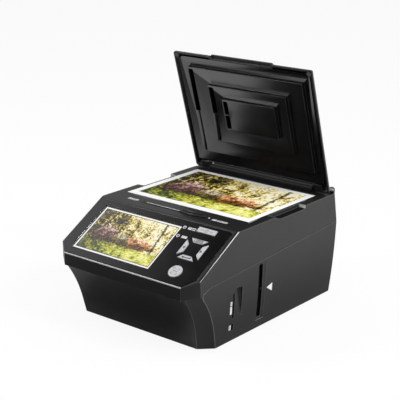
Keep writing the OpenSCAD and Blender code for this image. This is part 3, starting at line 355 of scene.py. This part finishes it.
def skirt_corner(edge):
    """True for the upright edges where the cut front corners meet the sides."""
    middle = (edge.verts[0].co + edge.verts[1].co) / 2
    if (len(edge.link_faces) != 2 or abs(middle.x) < corner_out or middle.y > corner_rear
            or middle.z > corner_top):
        return False
    rise = abs(edge.verts[0].co.z - edge.verts[1].co.z)
    sides = sorted(abs(face.normal.x) for face in edge.link_faces)
    return rise > 0.5 * edge.calc_length() and sides[1] > 0.97 and 0.4 < sides[0] < 0.9


slope_run, slope_drop = 76.3, 44.2
slope_fall = np.array([0.0, -slope_run, -slope_drop]) / math.hypot(slope_run, slope_drop)
# Near-black and dull: painted shade on the selector slot's walls, the finger notches, the panel's openings and the
# lid's step walls.
recess_painted_shade, tree, shader = new_finish("recess_painted_shade", (0.003, 0.003, 0.003), 0.7, Specular_IOR_Level=0.12)
add_grain(tree, shader, 0.35 * MM, 0.012 * MM)
# Pale grey on the wide rounds where the skirt's cut corners meet the sides: a painted highlight.
corner_painted_highlight = moulded_plastic("corner_painted_highlight", (0.13, 0.13, 0.132), (0.16, 0.16, 0.162), (0.22, 0.28),
                             0.35 * MM, 0.003 * MM)
slope_polish = moulded_plastic("slope_polish", (0.010, 0.010, 0.010), (0.014, 0.014, 0.014), (0.10, 0.14),
                               0.35 * MM, 0.002 * MM)
# the wider round at the skirt's cut corners carries the painted highlight
lower_edge, upper_edge, highlight_width = 0.2 * MM, 0.35 * MM, 0.9 * MM
rounded_copy("lower_case", lower_edge, case_black, edge_finish=corner_painted_highlight, highlight_edge=skirt_corner)
rounded_copy("upper_case", upper_edge, case_black, edge_finish=case_edge_painted_highlight,
             more=[lip_painted_highlight, slope_polish, recess_painted_shade], choose=hood_faces, highlight_edge=skirt_corner)


def dress(finish, slot, *nodes):
    """Gives CAD nodes that keep their own mesh a finish."""
    for name in nodes:
        node = frame["nodes"][name]
        node.data.materials.clear()
        node.data.materials.append(finish)


rubber_finish, tree, shader = new_finish("foot_rubber", (0.020, 0.020, 0.020), 0.8)
add_grain(tree, shader, 0.6 * MM, 0.03 * MM)
dress(rubber_finish, "rubber", "rubber_feet", "glass_gasket")

screw_steel, tree, shader = new_finish("screw_steel", (0.62, 0.62, 0.64), 0.3, Metallic=1.0)
add_drift(tree, shader, 0.006, ((0.55, 0.55, 0.57), (0.68, 0.68, 0.70)), (0.24, 0.38))
dress(screw_steel, "steel", "case_screws", "board_screws")


# ---- Control panel ----
# A polished black ABS plate lies in the hood's sloped seat. It holds the display window, two light guides
# and the keys.
panel_black, tree, shader = new_finish("panel_black", (0.004, 0.004, 0.004), 0.10)
add_drift(tree, shader, 0.03, ((0.003, 0.003, 0.003), (0.005, 0.005, 0.005)), (0.09, 0.15))

press_axis = np.array(next(j["axis"] for j in frame["joints"] if j["name"] == "scan_key_press"))
panel_out = -press_axis
panel_down = np.array([0.0, -panel_out[2], panel_out[1]])
across = np.array([1.0, 0.0, 0.0])


def opening_walls(normals, middles):
    """Material 1, a matt near-black painted shade, for the faces in the panel's openings: upright ones, and all
    below its top face.
    """
    height = middles @ panel_out
    return (np.abs(normals @ panel_out) < 0.3) | (height < height.max() - 0.3 * MM)


rounded_copy("panel_bezel", 0.14 * MM, panel_black, segments=3, more=[recess_painted_shade],
             choose=opening_walls)


def node_points(node):
    """All vertices of a CAD node as rows of x, y, z."""
    mesh = frame["nodes"][node].data
    points = np.empty(len(mesh.vertices) * 3, np.float32)
    mesh.vertices.foreach_get("co", points)
    return points.reshape(-1, 3).astype(float)


def panel_middle(node):
    """(across, down, out) of the middle of a node's outermost face on the panel."""
    points = node_points(node) @ np.array([across, panel_down, panel_out]).T
    low, high = points.min(0), points.max(0)
    return np.array([(low[0] + high[0]) / 2, (low[1] + high[1]) / 2, high[2]])


def panel_size(node):
    """Width across and height down the panel of a node."""
    points = node_points(node) @ np.array([across, panel_down]).T
    return points.max(0) - points.min(0)


def panel_point(over, down, out):
    """Points on the panel from their distance across, down and out of it, as arrays."""
    return (np.multiply.outer(over, across) + np.multiply.outer(down, panel_down)
            + np.multiply.outer(out, panel_out))


key_silver, tree, shader = new_finish("key_silver", (0.60, 0.60, 0.62), 0.35)
add_drift(tree, shader, 0.02, ((0.56, 0.56, 0.58), (0.63, 0.63, 0.65)), (0.30, 0.40))
add_grain(tree, shader, 0.25 * MM, 0.006 * MM)
for key in ("power_key", "menu_key", "left_key", "right_key", "enter_key", "scan_key"):
    rounded_copy(key, 0.3 * MM, key_silver, segments=3)

guide_clear, tree, shader = new_finish("guide_clear", (0.10, 0.10, 0.10), 0.2)
add_drift(tree, shader, 0.004, ((0.08, 0.08, 0.08), (0.13, 0.13, 0.13)), (0.15, 0.25))
dress(guide_clear, "light_white", "light_pipes", "indicator_leds")


def plate(outline):
    """Points and faces of a thin plate from z 0 to 1 over an outline that runs against the clock."""
    count = len(outline)
    points = np.concatenate([np.c_[outline, np.ones(count)], np.c_[outline, np.zeros(count)]])
    step = np.arange(count)
    after = np.roll(step, -1)
    walls = np.c_[step, step + count, after + count, after]
    return points, [step.tolist(), (step[::-1] + count).tolist(), *walls.tolist()]


def band(outer, inner):
    """Points and faces of a thin ring from z 0 to 1 between two outlines with as many points each."""
    count = len(outer)
    points = np.concatenate([np.c_[line, np.full(count, z)] for line, z in
                             ((outer, 1), (inner, 1), (outer, 0), (inner, 0))])
    step = np.arange(count)
    after = np.roll(step, -1)
    ring = [(0, 1), (1, 3), (3, 2), (2, 0)]
    faces = [np.c_[step + a * count, after + a * count, after + b * count, step + b * count] for a, b in ring]
    return points, np.concatenate(faces).tolist()


def rect(low_x, low_y, high_x, high_y):
    """A rectangle's corners, against the clock."""
    return np.array([(low_x, low_y), (high_x, low_y), (high_x, high_y), (low_x, high_y)], float)


def circle(x, y, radius, count=32):
    """Points on a circle, at even steps of the angle."""
    angle = 2 * math.pi * np.arange(count) / count
    return np.c_[x + radius * np.cos(angle), y + radius * np.sin(angle)]


def frame_band(low_x, low_y, high_x, high_y, line):
    """A rectangular frame of one line width."""
    return band(rect(low_x, low_y, high_x, high_y),
                rect(low_x + line, low_y + line, high_x - line, high_y - line))


mark_proud, mark_sunk = 0.04, -0.08


def mark(name, shapes, origin, right, up, finish, body):
    """A flat mark, for print and for one painted highlight: shapes in mm on the plane through origin, a little
    above it and a little sunk in.
    """
    right, up = np.array(right, float), np.array(up, float)
    out = np.cross(right, up)
    points, faces = [], []
    for shape_points, shape_faces in shapes:
        start = sum(len(p) for p in points)
        points.append(shape_points)
        faces += [[start + corner for corner in face] for face in shape_faces]
    flat = np.concatenate(points)
    height = mark_sunk + (mark_proud - mark_sunk) * flat[:, 2]
    solid = np.array(origin, float) + (flat[:, :1] * right + flat[:, 1:2] * up + height[:, None] * out) * MM
    mesh = bpy.data.meshes.new(name)
    mesh.from_pydata(solid.tolist(), [], faces)
    mesh.materials.append(finish)
    piece = bpy.data.objects.new(name, mesh)
    bpy.context.scene.collection.objects.link(piece)
    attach(piece, body)


# White print, also used for one painted highlight along the selector slot's rear edge.
print_and_highlight_white = moulded_plastic("print_and_highlight_white", (0.80, 0.80, 0.80), (0.86, 0.86, 0.86), (0.45, 0.55),
                              0.3 * MM, 0.004 * MM)
print_dark = moulded_plastic("print_dark", (0.020, 0.020, 0.022), (0.030, 0.030, 0.032), (0.45, 0.55),
                             0.3 * MM, 0.004 * MM)
print_grey = moulded_plastic("print_grey", (0.26, 0.26, 0.27), (0.30, 0.30, 0.31), (0.45, 0.55),
                             0.3 * MM, 0.004 * MM)
panel_up = -panel_down


def key_mark(name, key, shapes, finish):
    """A mark in the middle of a key's face, which moves with the key."""
    mark(name, shapes, panel_point(*panel_middle(key)), across, panel_up, finish, key)


def list_bars(low_x, high_x, rows, line, dot):
    """Rows that each hold a square and a bar, like a list."""
    bars = []
    for y in rows:
        bars += [plate(rect(low_x, y - line / 2, low_x + dot, y + line / 2)),
                 plate(rect(low_x + dot + line, y - line / 2, high_x, y + line / 2))]
    return bars


power_ring = band(circle(0, 0, 2.2), circle(0, 0, 1.5))
key_mark("power_symbol", "power_key", [
    power_ring, plate(rect(-0.35, -0.6, 0.35, 1.2)), plate(rect(-8.5, -0.4, -3.6, 0.4)),
    plate(rect(3.6, -0.4, 8.5, 0.4))], print_grey)
key_mark("menu_symbol", "menu_key", list_bars(-6.0, 6.0, (-1.5, 0.0, 1.5), 0.8, 1.2), print_dark)
return_arrow = np.array([(-6.0, -0.4), (-3.4, -2.0), (-3.4, -0.9), (6.0, -0.9), (6.0, 1.9), (4.9, 1.9),
                         (4.9, 0.1), (-3.4, 0.1), (-3.4, 1.2)])
key_mark("enter_symbol", "enter_key", [plate(return_arrow)], print_dark)
arrow_half, arrow_long = 1.9, 1.5
key_mark("left_arrow", "left_key", [
    plate(np.array([(-arrow_long, 0), (arrow_long, -arrow_half), (arrow_long, arrow_half)]))], print_dark)
key_mark("right_arrow", "right_key", [
    plate(np.array([(arrow_long, 0), (-arrow_long, arrow_half), (-arrow_long, -arrow_half)]))], print_dark)
corner_far, corner_near, corner_line = 4.2, 1.8, 0.8
corner_mid = corner_far - corner_line
corner = np.array([(corner_near, corner_mid), (corner_mid, corner_mid), (corner_mid, corner_near),
                   (corner_far, corner_near), (corner_far, corner_far), (corner_near, corner_far)])
scan_symbol = [plate(rect(-3.0, -0.5, 3.0, 0.5))]
for turn in ((1, 1), (-1, 1), (-1, -1), (1, -1)):
    turned = corner * turn
    scan_symbol.append(plate(turned if turn[0] * turn[1] > 0 else turned[::-1]))
key_mark("scan_symbol", "scan_key", scan_symbol, print_grey)

lamp_step = 13.0
lamp_ring_out, lamp_ring_in = 2.1, 1.3
label_gap = 5.2
picture_label = [frame_band(0, -1.5, 4.4, 1.7, 0.75), plate(rect(0.7, -1.0, 3.7, 0.1)),
                 *[plate(rect(5.1, y - 0.5, 10.2, y + 0.5)) for y in (-1.0, 1.2)]]
film_label = [frame_band(0, -1.5, 7.4, 1.7, 0.75),
              *[plate(rect(x, -0.6, x + 1.3, 0.8)) for x in (1.2, 3.05, 4.9)]]
lamps_middle = panel_middle("light_pipes")
for lamp, side, label in (("photo_lamp", -0.5, picture_label), ("film_lamp", 0.5, film_label)):
    spot = panel_point(*(lamps_middle + (0.0, side * lamp_step * MM, 0.0)))
    ring = band(circle(0, 0, lamp_ring_out), circle(0, 0, lamp_ring_in))
    mark(lamp + "_ring", [ring], spot, across, panel_up, print_and_highlight_white, "case")
    mark(lamp + "_label", label, spot + across * label_gap * MM, across, panel_up, print_and_highlight_white, "case")


# ---- Display ----
# A 5 inch colour display behind a clear acrylic window. Its picture is lit from behind and has a white line
# round it. The picture shows a meadow under autumn trees.
def ramp(tree, value, stops):
    """The colour at a value on a ramp of (position, colour) stops."""
    node = add_node(tree, "ShaderNodeValToRGB", [(0, value)])
    marks = node.color_ramp.elements
    while len(marks) > 1:
        marks.remove(marks[0])
    marks[0].position, marks[0].color = stops[0][0], (*stops[0][1], 1.0)
    for position, colour in stops[1:]:
        marks.new(position).color = (*colour, 1.0)
    return node.outputs["Color"]


def noise(tree, place, scale, detail=5.0, roughness=0.6):
    """The value of a noise at a place."""
    return add_node(tree, "ShaderNodeTexNoise", [
        ("Vector", place), ("Scale", scale), ("Detail", detail), ("Roughness", roughness)]).outputs["Fac"]


def blot(tree, over, up, ragged, place, size):
    """A ragged round patch: one where the squared distance from its middle, in its own half sizes, plus the
    ragged value is small."""
    reach = ragged
    for value, middle, half in ((over, place[0], size[0]), (up, place[1], size[1])):
        off = calc(tree, "DIVIDE", calc(tree, "SUBTRACT", value, middle), half)
        reach = calc(tree, "ADD", reach, calc(tree, "MULTIPLY", off, off))
    return spread(tree, reach, 0.9, 1.2, 1.0, 0.0)


def landscape(tree, over, up):
    """Colour of the landscape at (over, up), both from 0 to 1: trees, bushes and a meadow in low sun."""
    picture_wide = 1.75
    wide = calc(tree, "MULTIPLY", over, picture_wide)
    place = add_node(tree, "ShaderNodeCombineXYZ", [(0, wide), (1, up)]).outputs[0]
    clumps = calc(tree, "SUBTRACT", noise(tree, place, 4.5, 7.0, 0.65), 0.5)
    leaf = add_node(tree, "ShaderNodeTexVoronoi", [("Vector", place), ("Scale", 36.0)]).outputs["Color"]
    dab = add_node(tree, "ShaderNodeSeparateColor", [(0, leaf)]).outputs[0]
    rough = calc(tree, "SUBTRACT", noise(tree, place, 14.0, 8.0, 0.75), 0.5)
    ragged = calc(tree, "MULTIPLY", rough, 3.2)
    tone = calc(tree, "ADD", calc(tree, "MULTIPLY", clumps, 2.4), calc(tree, "MULTIPLY", dab, 0.70))
    tone = calc(tree, "ADD", tone, spread(tree, over, 0.0, 0.9, -0.20, 0.46, "LINEAR"))
    glow = blot(tree, over, up, calc(tree, "MULTIPLY", ragged, 1.2), (0.72, 1.0), (0.20, 0.30))
    tone = calc(tree, "ADD", tone, calc(tree, "MULTIPLY", glow, 0.24))
    colour = ramp(tree, tone, [
        (0.06, (0.006, 0.007, 0.004)), (0.24, (0.05, 0.045, 0.012)), (0.38, (0.26, 0.19, 0.025)),
        (0.54, (0.66, 0.48, 0.08)), (0.72, (0.92, 0.78, 0.30)), (0.92, (1.0, 0.96, 0.74))])
    for foot, lean, half in ((0.10, 0.10, 0.016), (0.40, -0.05, 0.009), (0.90, -0.06, 0.012)):
        middle = calc(tree, "ADD", calc(tree, "MULTIPLY", up, lean), foot)
        off = calc(tree, "ABSOLUTE", calc(tree, "ADD", calc(tree, "SUBTRACT", over, middle),
                                          calc(tree, "MULTIPLY", rough, 0.05)))
        rough_off = calc(tree, "ADD", off, calc(tree, "MULTIPLY", dab, half))
        trunk = spread(tree, rough_off, half, half * 2, 0.92, 0.0)
        colour = tint(tree, trunk, colour, (0.018, 0.012, 0.006))
    for middle, half, rim in (((0.24, 0.42), (0.14, 0.20), (0.26, 0.11, 0.075)),
                              ((0.66, 0.38), (0.20, 0.13), (0.62, 0.25, 0.05)),
                              ((0.45, 0.40), (0.10, 0.14), (0.30, 0.22, 0.06))):
        height = spread(tree, up, middle[1] - half[1], middle[1] + half[1], -0.30, 0.62, "LINEAR")
        shade = calc(tree, "ADD", calc(tree, "ADD", height, calc(tree, "MULTIPLY", dab, 0.6)),
                     calc(tree, "MULTIPLY", rough, 2.0))
        bush = ramp(tree, shade, [
            (0.05, (0.008, 0.006, 0.005)), (0.40, tuple(0.32 * c for c in rim)), (0.70, rim),
            (1.0, tuple(min(1.0, 0.45 + c) for c in rim))])
        colour = tint(tree, blot(tree, over, up, ragged, middle, half), colour, bush)
    streaks = add_node(tree, "ShaderNodeMapping",
                       [("Vector", place), ("Scale", (12.0, 60.0, 1.0))]).outputs[0]
    low_sun = spread(tree, over, 0.1, 0.8, -0.10, 0.10, "LINEAR")
    grass = calc(tree, "ADD", noise(tree, streaks, 1.0, 8.0, 0.7), calc(tree, "MULTIPLY", clumps, 0.9))
    sunlit = calc(tree, "ADD", low_sun, calc(tree, "MULTIPLY", dab, 0.08))
    grass = ramp(tree, calc(tree, "ADD", grass, sunlit), [
        (0.38, (0.01, 0.018, 0.003)), (0.47, (0.11, 0.13, 0.012)), (0.55, (0.40, 0.42, 0.03)),
        (0.63, (0.76, 0.74, 0.10)), (0.74, (0.97, 0.94, 0.42))])
    edge = calc(tree, "ADD", up, calc(tree, "MULTIPLY", ragged, 0.06))
    return tint(tree, spread(tree, edge, 0.24, 0.31, 1.0, 0.0), colour, grass)


def inside(tree, over, up, margins):
    """One inside a rectangle given by its margins at left, right, bottom and top, and zero outside it."""
    product = 1.0
    for value, test, limit in ((over, "GREATER_THAN", margins[0]), (over, "LESS_THAN", 1 - margins[1]),
                               (up, "GREATER_THAN", margins[2]), (up, "LESS_THAN", 1 - margins[3])):
        product = calc(tree, "MULTIPLY", product, calc(tree, test, value, limit))
    return product


def picture_axes(tree):
    """(over, up) of the piece's own picture map, both from 0 to 1."""
    place = add_node(tree, "ShaderNodeUVMap", uv_map="picture")
    apart = add_node(tree, "ShaderNodeSeparateXYZ", [(0, place.outputs[0])])
    return apart.outputs[0], apart.outputs[1]


def slab(name, corner, over, up, out, finish, body):
    """A flat sheet with a picture map: its face spans corner + over + up, and out is its thickness below."""
    corner, over, up, out = (np.array(v, float) for v in (corner, over, up, out))
    face = np.array([corner, corner + over, corner + over + up, corner + up])
    points = np.concatenate([face, face - out])
    quads = [(0, 1, 2, 3), (7, 6, 5, 4), (0, 4, 5, 1), (1, 5, 6, 2), (2, 6, 7, 3), (3, 7, 4, 0)]
    mesh = bpy.data.meshes.new(name)
    mesh.from_pydata(points.tolist(), [], quads)
    flat = np.array([(0, 0), (1, 0), (1, 1), (0, 1)] * 2, float)
    order = np.array(quads).ravel()
    mesh.uv_layers.new(name="picture").data.foreach_set("uv", flat[order].ravel().astype(np.float32))
    mesh.materials.append(finish)
    piece = bpy.data.objects.new(name, mesh)
    bpy.context.scene.collection.objects.link(piece)
    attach(piece, body)
    return piece


display_finish, tree, shader = new_finish("display_picture", (0.0, 0.0, 0.0), 0.3, Specular_IOR_Level=0.05)
over, up = picture_axes(tree)
window_margin, line_mm, gap_mm = 3.1, 2.0, 0.8
display_size = panel_size("screen_window") - window_margin * MM
line = line_mm * MM / display_size
gap = line + gap_mm * MM / display_size
in_line = inside(tree, over, up, (line[0], line[0], line[1], line[1]))
in_gap = inside(tree, over, up, (gap[0], gap[0], gap[1], gap[1]))
edged = tint(tree, in_line, (0.95, 0.95, 0.93), (0.01, 0.01, 0.01))
tree.links.new(tint(tree, in_gap, edged, landscape(tree, over, up)), shader.inputs["Emission Color"])
shader.inputs["Emission Strength"].default_value = 1.0
display_middle = panel_middle("screen_window")
display_out = panel_middle("screen_module")[2] + 0.1 * MM
display_corner = panel_point(display_middle[0] - display_size[0] / 2, display_middle[1] + display_size[1] / 2,
                             display_out)
slab("display_picture", display_corner, across * display_size[0], panel_up * display_size[1],
     panel_out * 0.08 * MM, display_finish, "case")

module_finish, tree, shader = new_finish("display_module", (0.05, 0.05, 0.055), 0.4, Metallic=0.6)
add_drift(tree, shader, 0.02, ((0.045, 0.045, 0.05), (0.06, 0.06, 0.065)), (0.35, 0.5))
dress(module_finish, "screen", "screen_module")


def clear_finish(name, colour, ior, patch, polish, gloss=0.5):
    """Clear glass or acrylic whose polish varies over patches of a given size; a coating lowers its gloss."""
    finish, tree, shader = new_finish(name, colour, polish[0], IOR=ior, Transmission_Weight=1.0,
                                      Specular_IOR_Level=gloss)
    place = add_node(tree, "ShaderNodeTexCoord").outputs["Object"]
    tree.links.new(spread(tree, noise(tree, place, 1.0 / patch, 3.0), 0.3, 0.7, *polish, kind="LINEAR"),
                   shader.inputs["Roughness"])
    return finish


window_clear = clear_finish("window_clear", (1.0, 1.0, 1.0), 1.40, 0.02, (0.01, 0.04), gloss=0.12)
dress(window_clear, "clear_window", "screen_window")


# ---- Platen ----
# A sheet of clear float glass lies on a rubber seal in the hood. A paper print with a white border lies face
# up on it.
glass_clear = clear_finish("glass_clear", (0.97, 0.99, 0.98), 1.52, 0.03, (0.005, 0.03))
dress(glass_clear, "clear_glass", "platen_glass")
# The lid's plate would mirror the sheet and the print as one pale patch, so both stay out of reflections.
frame["nodes"]["platen_glass"].visible_glossy = False

paper_finish, tree, shader = new_finish("photo_paper", (0.95, 0.95, 0.95), 0.5, Specular_IOR_Level=0.08)
over, up = picture_axes(tree)
paper_low, paper_high = (np.array(corner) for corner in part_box("photo_print"))
paper_size = paper_high - paper_low
border_mm = np.array([8.5, 7.0, 10.0, 7.0])
border = border_mm * MM / np.array([paper_size[0]] * 2 + [paper_size[1]] * 2)
shown = inside(tree, over, up, border)
tree.links.new(tint(tree, shown, (0.96, 0.96, 0.95), landscape(tree, over, up)), shader.inputs["Base Color"])
print_piece = slab("print_sheet", (paper_low[0], paper_low[1], paper_high[2]), (paper_size[0], 0, 0),
                   (0, paper_size[1], 0), (0, 0, paper_size[2]), paper_finish, "case")
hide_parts("photo_print")
print_piece.visible_glossy = False


# ---- Lid ----
# A shell and a pressure plate of black ABS, snapped together. The plate falls away in three steps towards its
# middle, and pins at the rear carry the lid.
lid_black = moulded_plastic("lid_black", (0.006, 0.006, 0.006), (0.009, 0.009, 0.009), (0.36, 0.44),
                            0.35 * MM, 0.012 * MM)
# Lighter than the lid on its rounded edges: a painted highlight.
lid_edge_painted_highlight = moulded_plastic("lid_edge_painted_highlight", (0.020, 0.020, 0.021), (0.028, 0.028, 0.029), (0.22, 0.30),
                                 0.35 * MM, 0.003 * MM)
plate_black = moulded_plastic("plate_black", (0.007, 0.007, 0.007), (0.010, 0.010, 0.010), (0.20, 0.27),
                              0.30 * MM, 0.003 * MM)
plate_polish_ior = 1.90  # above plain ABS, for the plate's stronger mirror
plate_black.node_tree.nodes["Principled BSDF"].inputs["IOR"].default_value = plate_polish_ior
rounded_copy("lid_shell", 0.3 * MM, lid_black, edge_finish=lid_edge_painted_highlight)


def step_walls(normals, middles):
    """Material 2, a matt near-black painted shade, for the steps' walls that face right."""
    return 2 * (normals[:, 0] > 0.85)


rounded_copy("lid_plate", 0.3 * MM, plate_black, edge_finish=lid_edge_painted_highlight,
             more=[recess_painted_shade], choose=step_walls)
hinge_black = moulded_plastic("hinge_black", (0.010, 0.010, 0.011), (0.014, 0.014, 0.015), (0.44, 0.54),
                              0.30 * MM, 0.008 * MM)
hinge_gloss = 0.25
hinge_black.node_tree.nodes["Principled BSDF"].inputs["Specular IOR Level"].default_value = hinge_gloss
rounded_copy("hinge_bar", 0.3 * MM, hinge_black)
dress(screw_steel, "steel", "hinge_pin_left", "hinge_pin_right")
bumper_grey, tree, shader = new_finish("bumper_grey", (0.10, 0.10, 0.105), 0.7)
add_grain(tree, shader, 0.5 * MM, 0.02 * MM)
rounded_copy("lid_bumpers", 0.4 * MM, bumper_grey, segments=3)


# ---- Mode selector ----
# A black knob with a thumb ridge slides in a slot of the deck. Under it a carrier, a bent steel arm and a
# moulded carriage on two rods move the mirror and the close-up lens.
rounded_copy("selector_knob", 0.25 * MM, lid_black, edge_finish=case_edge_painted_highlight)
carrier_black, tree, shader = new_finish("carrier_black", (0.008, 0.008, 0.008), 0.6, Specular_IOR_Level=0.3)
add_grain(tree, shader, 0.4 * MM, 0.01 * MM)
dress(carrier_black, "carrier_plastic", "selector_carrier")
sheet_steel, tree, shader = new_finish("sheet_steel", (0.60, 0.61, 0.62), 0.35, Metallic=1.0)
add_drift(tree, shader, 0.01, ((0.55, 0.56, 0.57), (0.66, 0.66, 0.67)), (0.28, 0.42))
dress(sheet_steel, "steel", "mode_arm", "guide_rod_front", "guide_rod_rear", "camera_bracket", "panel_frame",
      "card_socket", "port_socket")
optic_black, tree, shader = new_finish("optic_black", (0.010, 0.010, 0.010), 0.75)
add_grain(tree, shader, 0.3 * MM, 0.02 * MM)
dress(optic_black, "optic_black", "mode_carriage", "camera_body", "film_guide")
silvered, tree, shader = new_finish("silvered", (0.90, 0.92, 0.94), 0.02, Metallic=1.0)
add_drift(tree, shader, 0.02, ((0.89, 0.91, 0.93), (0.92, 0.94, 0.95)), (0.01, 0.04))
dress(silvered, "mirror", "photo_mirror")
lens_clear, tree, shader = new_finish("lens_clear", (0.85, 0.88, 1.0), 0.01, IOR=1.6, Transmission_Weight=1.0)
dress(lens_clear, "lens_glass", "close_up_lens", "camera_lens")


# ---- Boards and lights ----
# Glass fibre boards with green solder mask and black moulded chips, a white light box for film, and two rows
# of lamps for prints.
board_green, tree, shader = new_finish("board_green", (0.02, 0.16, 0.08), 0.35)
add_drift(tree, shader, 0.008, ((0.015, 0.13, 0.065), (0.025, 0.19, 0.095)), (0.3, 0.45))
dress(board_green, "board_green", "main_board", "key_board", "camera_board", "side_board")
chip_black, tree, shader = new_finish("chip_black", (0.02, 0.02, 0.022), 0.5)
add_grain(tree, shader, 0.2 * MM, 0.01 * MM)
dress(chip_black, "chip_black", "board_chips", "key_switches")
box_white, tree, shader = new_finish("box_white", (0.80, 0.80, 0.79), 0.5)
add_drift(tree, shader, 0.02, ((0.78, 0.78, 0.77), (0.83, 0.83, 0.82)), (0.45, 0.6))
dress(box_white, "white_plastic", "film_light_box", "film_light_board", "film_diffuser", "photo_light_left",
      "photo_light_right", "photo_leds")


# ---- Printed marks on the case ----
# White pad printing: a film strip and a picture beside the selector's two ends, a dot at its slot, and on the
# right side a pointer to the film slot, a card and a port. A white line along the slot's rear edge is a painted
# highlight of that edge.
def deck_mark(name, shapes, x, y):
    """A mark on the flat deck, with its top towards the lid."""
    mark(name, shapes, (x * MM, y * MM, deck_high), (1, 0, 0), (0, 1, 0), print_and_highlight_white, "case")


deck_mark("film_mode_label", [
    frame_band(-7.5, -2.1, 7.5, 2.1, 0.8),
    *[plate(rect(x, -0.8, x + 2.4, 0.8)) for x in (-6.0, -2.7, 0.6, 3.9)]], -64.5, -42.0)
deck_mark("photo_mode_label", [
    frame_band(-10.5, -2.1, -4.5, 2.1, 0.8), plate(rect(-9.4, -1.0, -5.6, 0.2)),
    *[plate(rect(-3.3, y - 0.6, 10.5, y + 0.6)) for y in (-1.4, 1.2)]], 63.5, -43.0)
# A white line along the slot's rear edge: a painted highlight.
highlight_half = 0.40
slot_rear = (selector_y + slot_half) / MM + highlight_half - 0.2
highlight_shape = plate(rect(-44.0, -highlight_half, knob_low[0] / MM - 0.5, highlight_half))
deck_mark("slot_edge_highlight", [highlight_shape], 0.0, slot_rear)
dot_radius = 1.2
deck_mark("selector_dot", [plate(circle(0, 0, dot_radius))], 47.0, -41.0)


def side_mark(name, shapes, y, z):
    """A mark on the right side of the tub, flat on the slightly leaning wall: its up follows the wall."""
    low, middle, high = (first_hit("lower_case", (0.3, y * MM, (z + step) * MM), (-1, 0, 0))
                         for step in (-2.0, 0.0, 2.0))
    rise = (high - low).normalized()
    mark(name, shapes, middle, (0, 1, 0), rise, print_and_highlight_white, "case")


side_mark("slot_pointer", [plate(np.array([(-10.3, 1.9), (0.0, -4.9), (0.0, 4.9)]))], 4.6, 44.4)
card_outline = np.array([(-1.6, -7.4), (1.6, -7.4), (1.6, 0.6), (0.6, 1.8), (-1.6, 1.8)])
card_label = [plate(card_outline), *[plate(rect(-1.6, z, 1.6, z + 1.1)) for z in (2.7, 4.4, 6.1)]]
side_mark("card_label", card_label, -68.5, 41.35)
port_label = [frame_band(-1.6, -2.8, 1.6, 2.8, 0.9), plate(rect(-0.4, -1.4, 0.4, 1.4))]
side_mark("port_label", port_label, -68.5, 18.15)
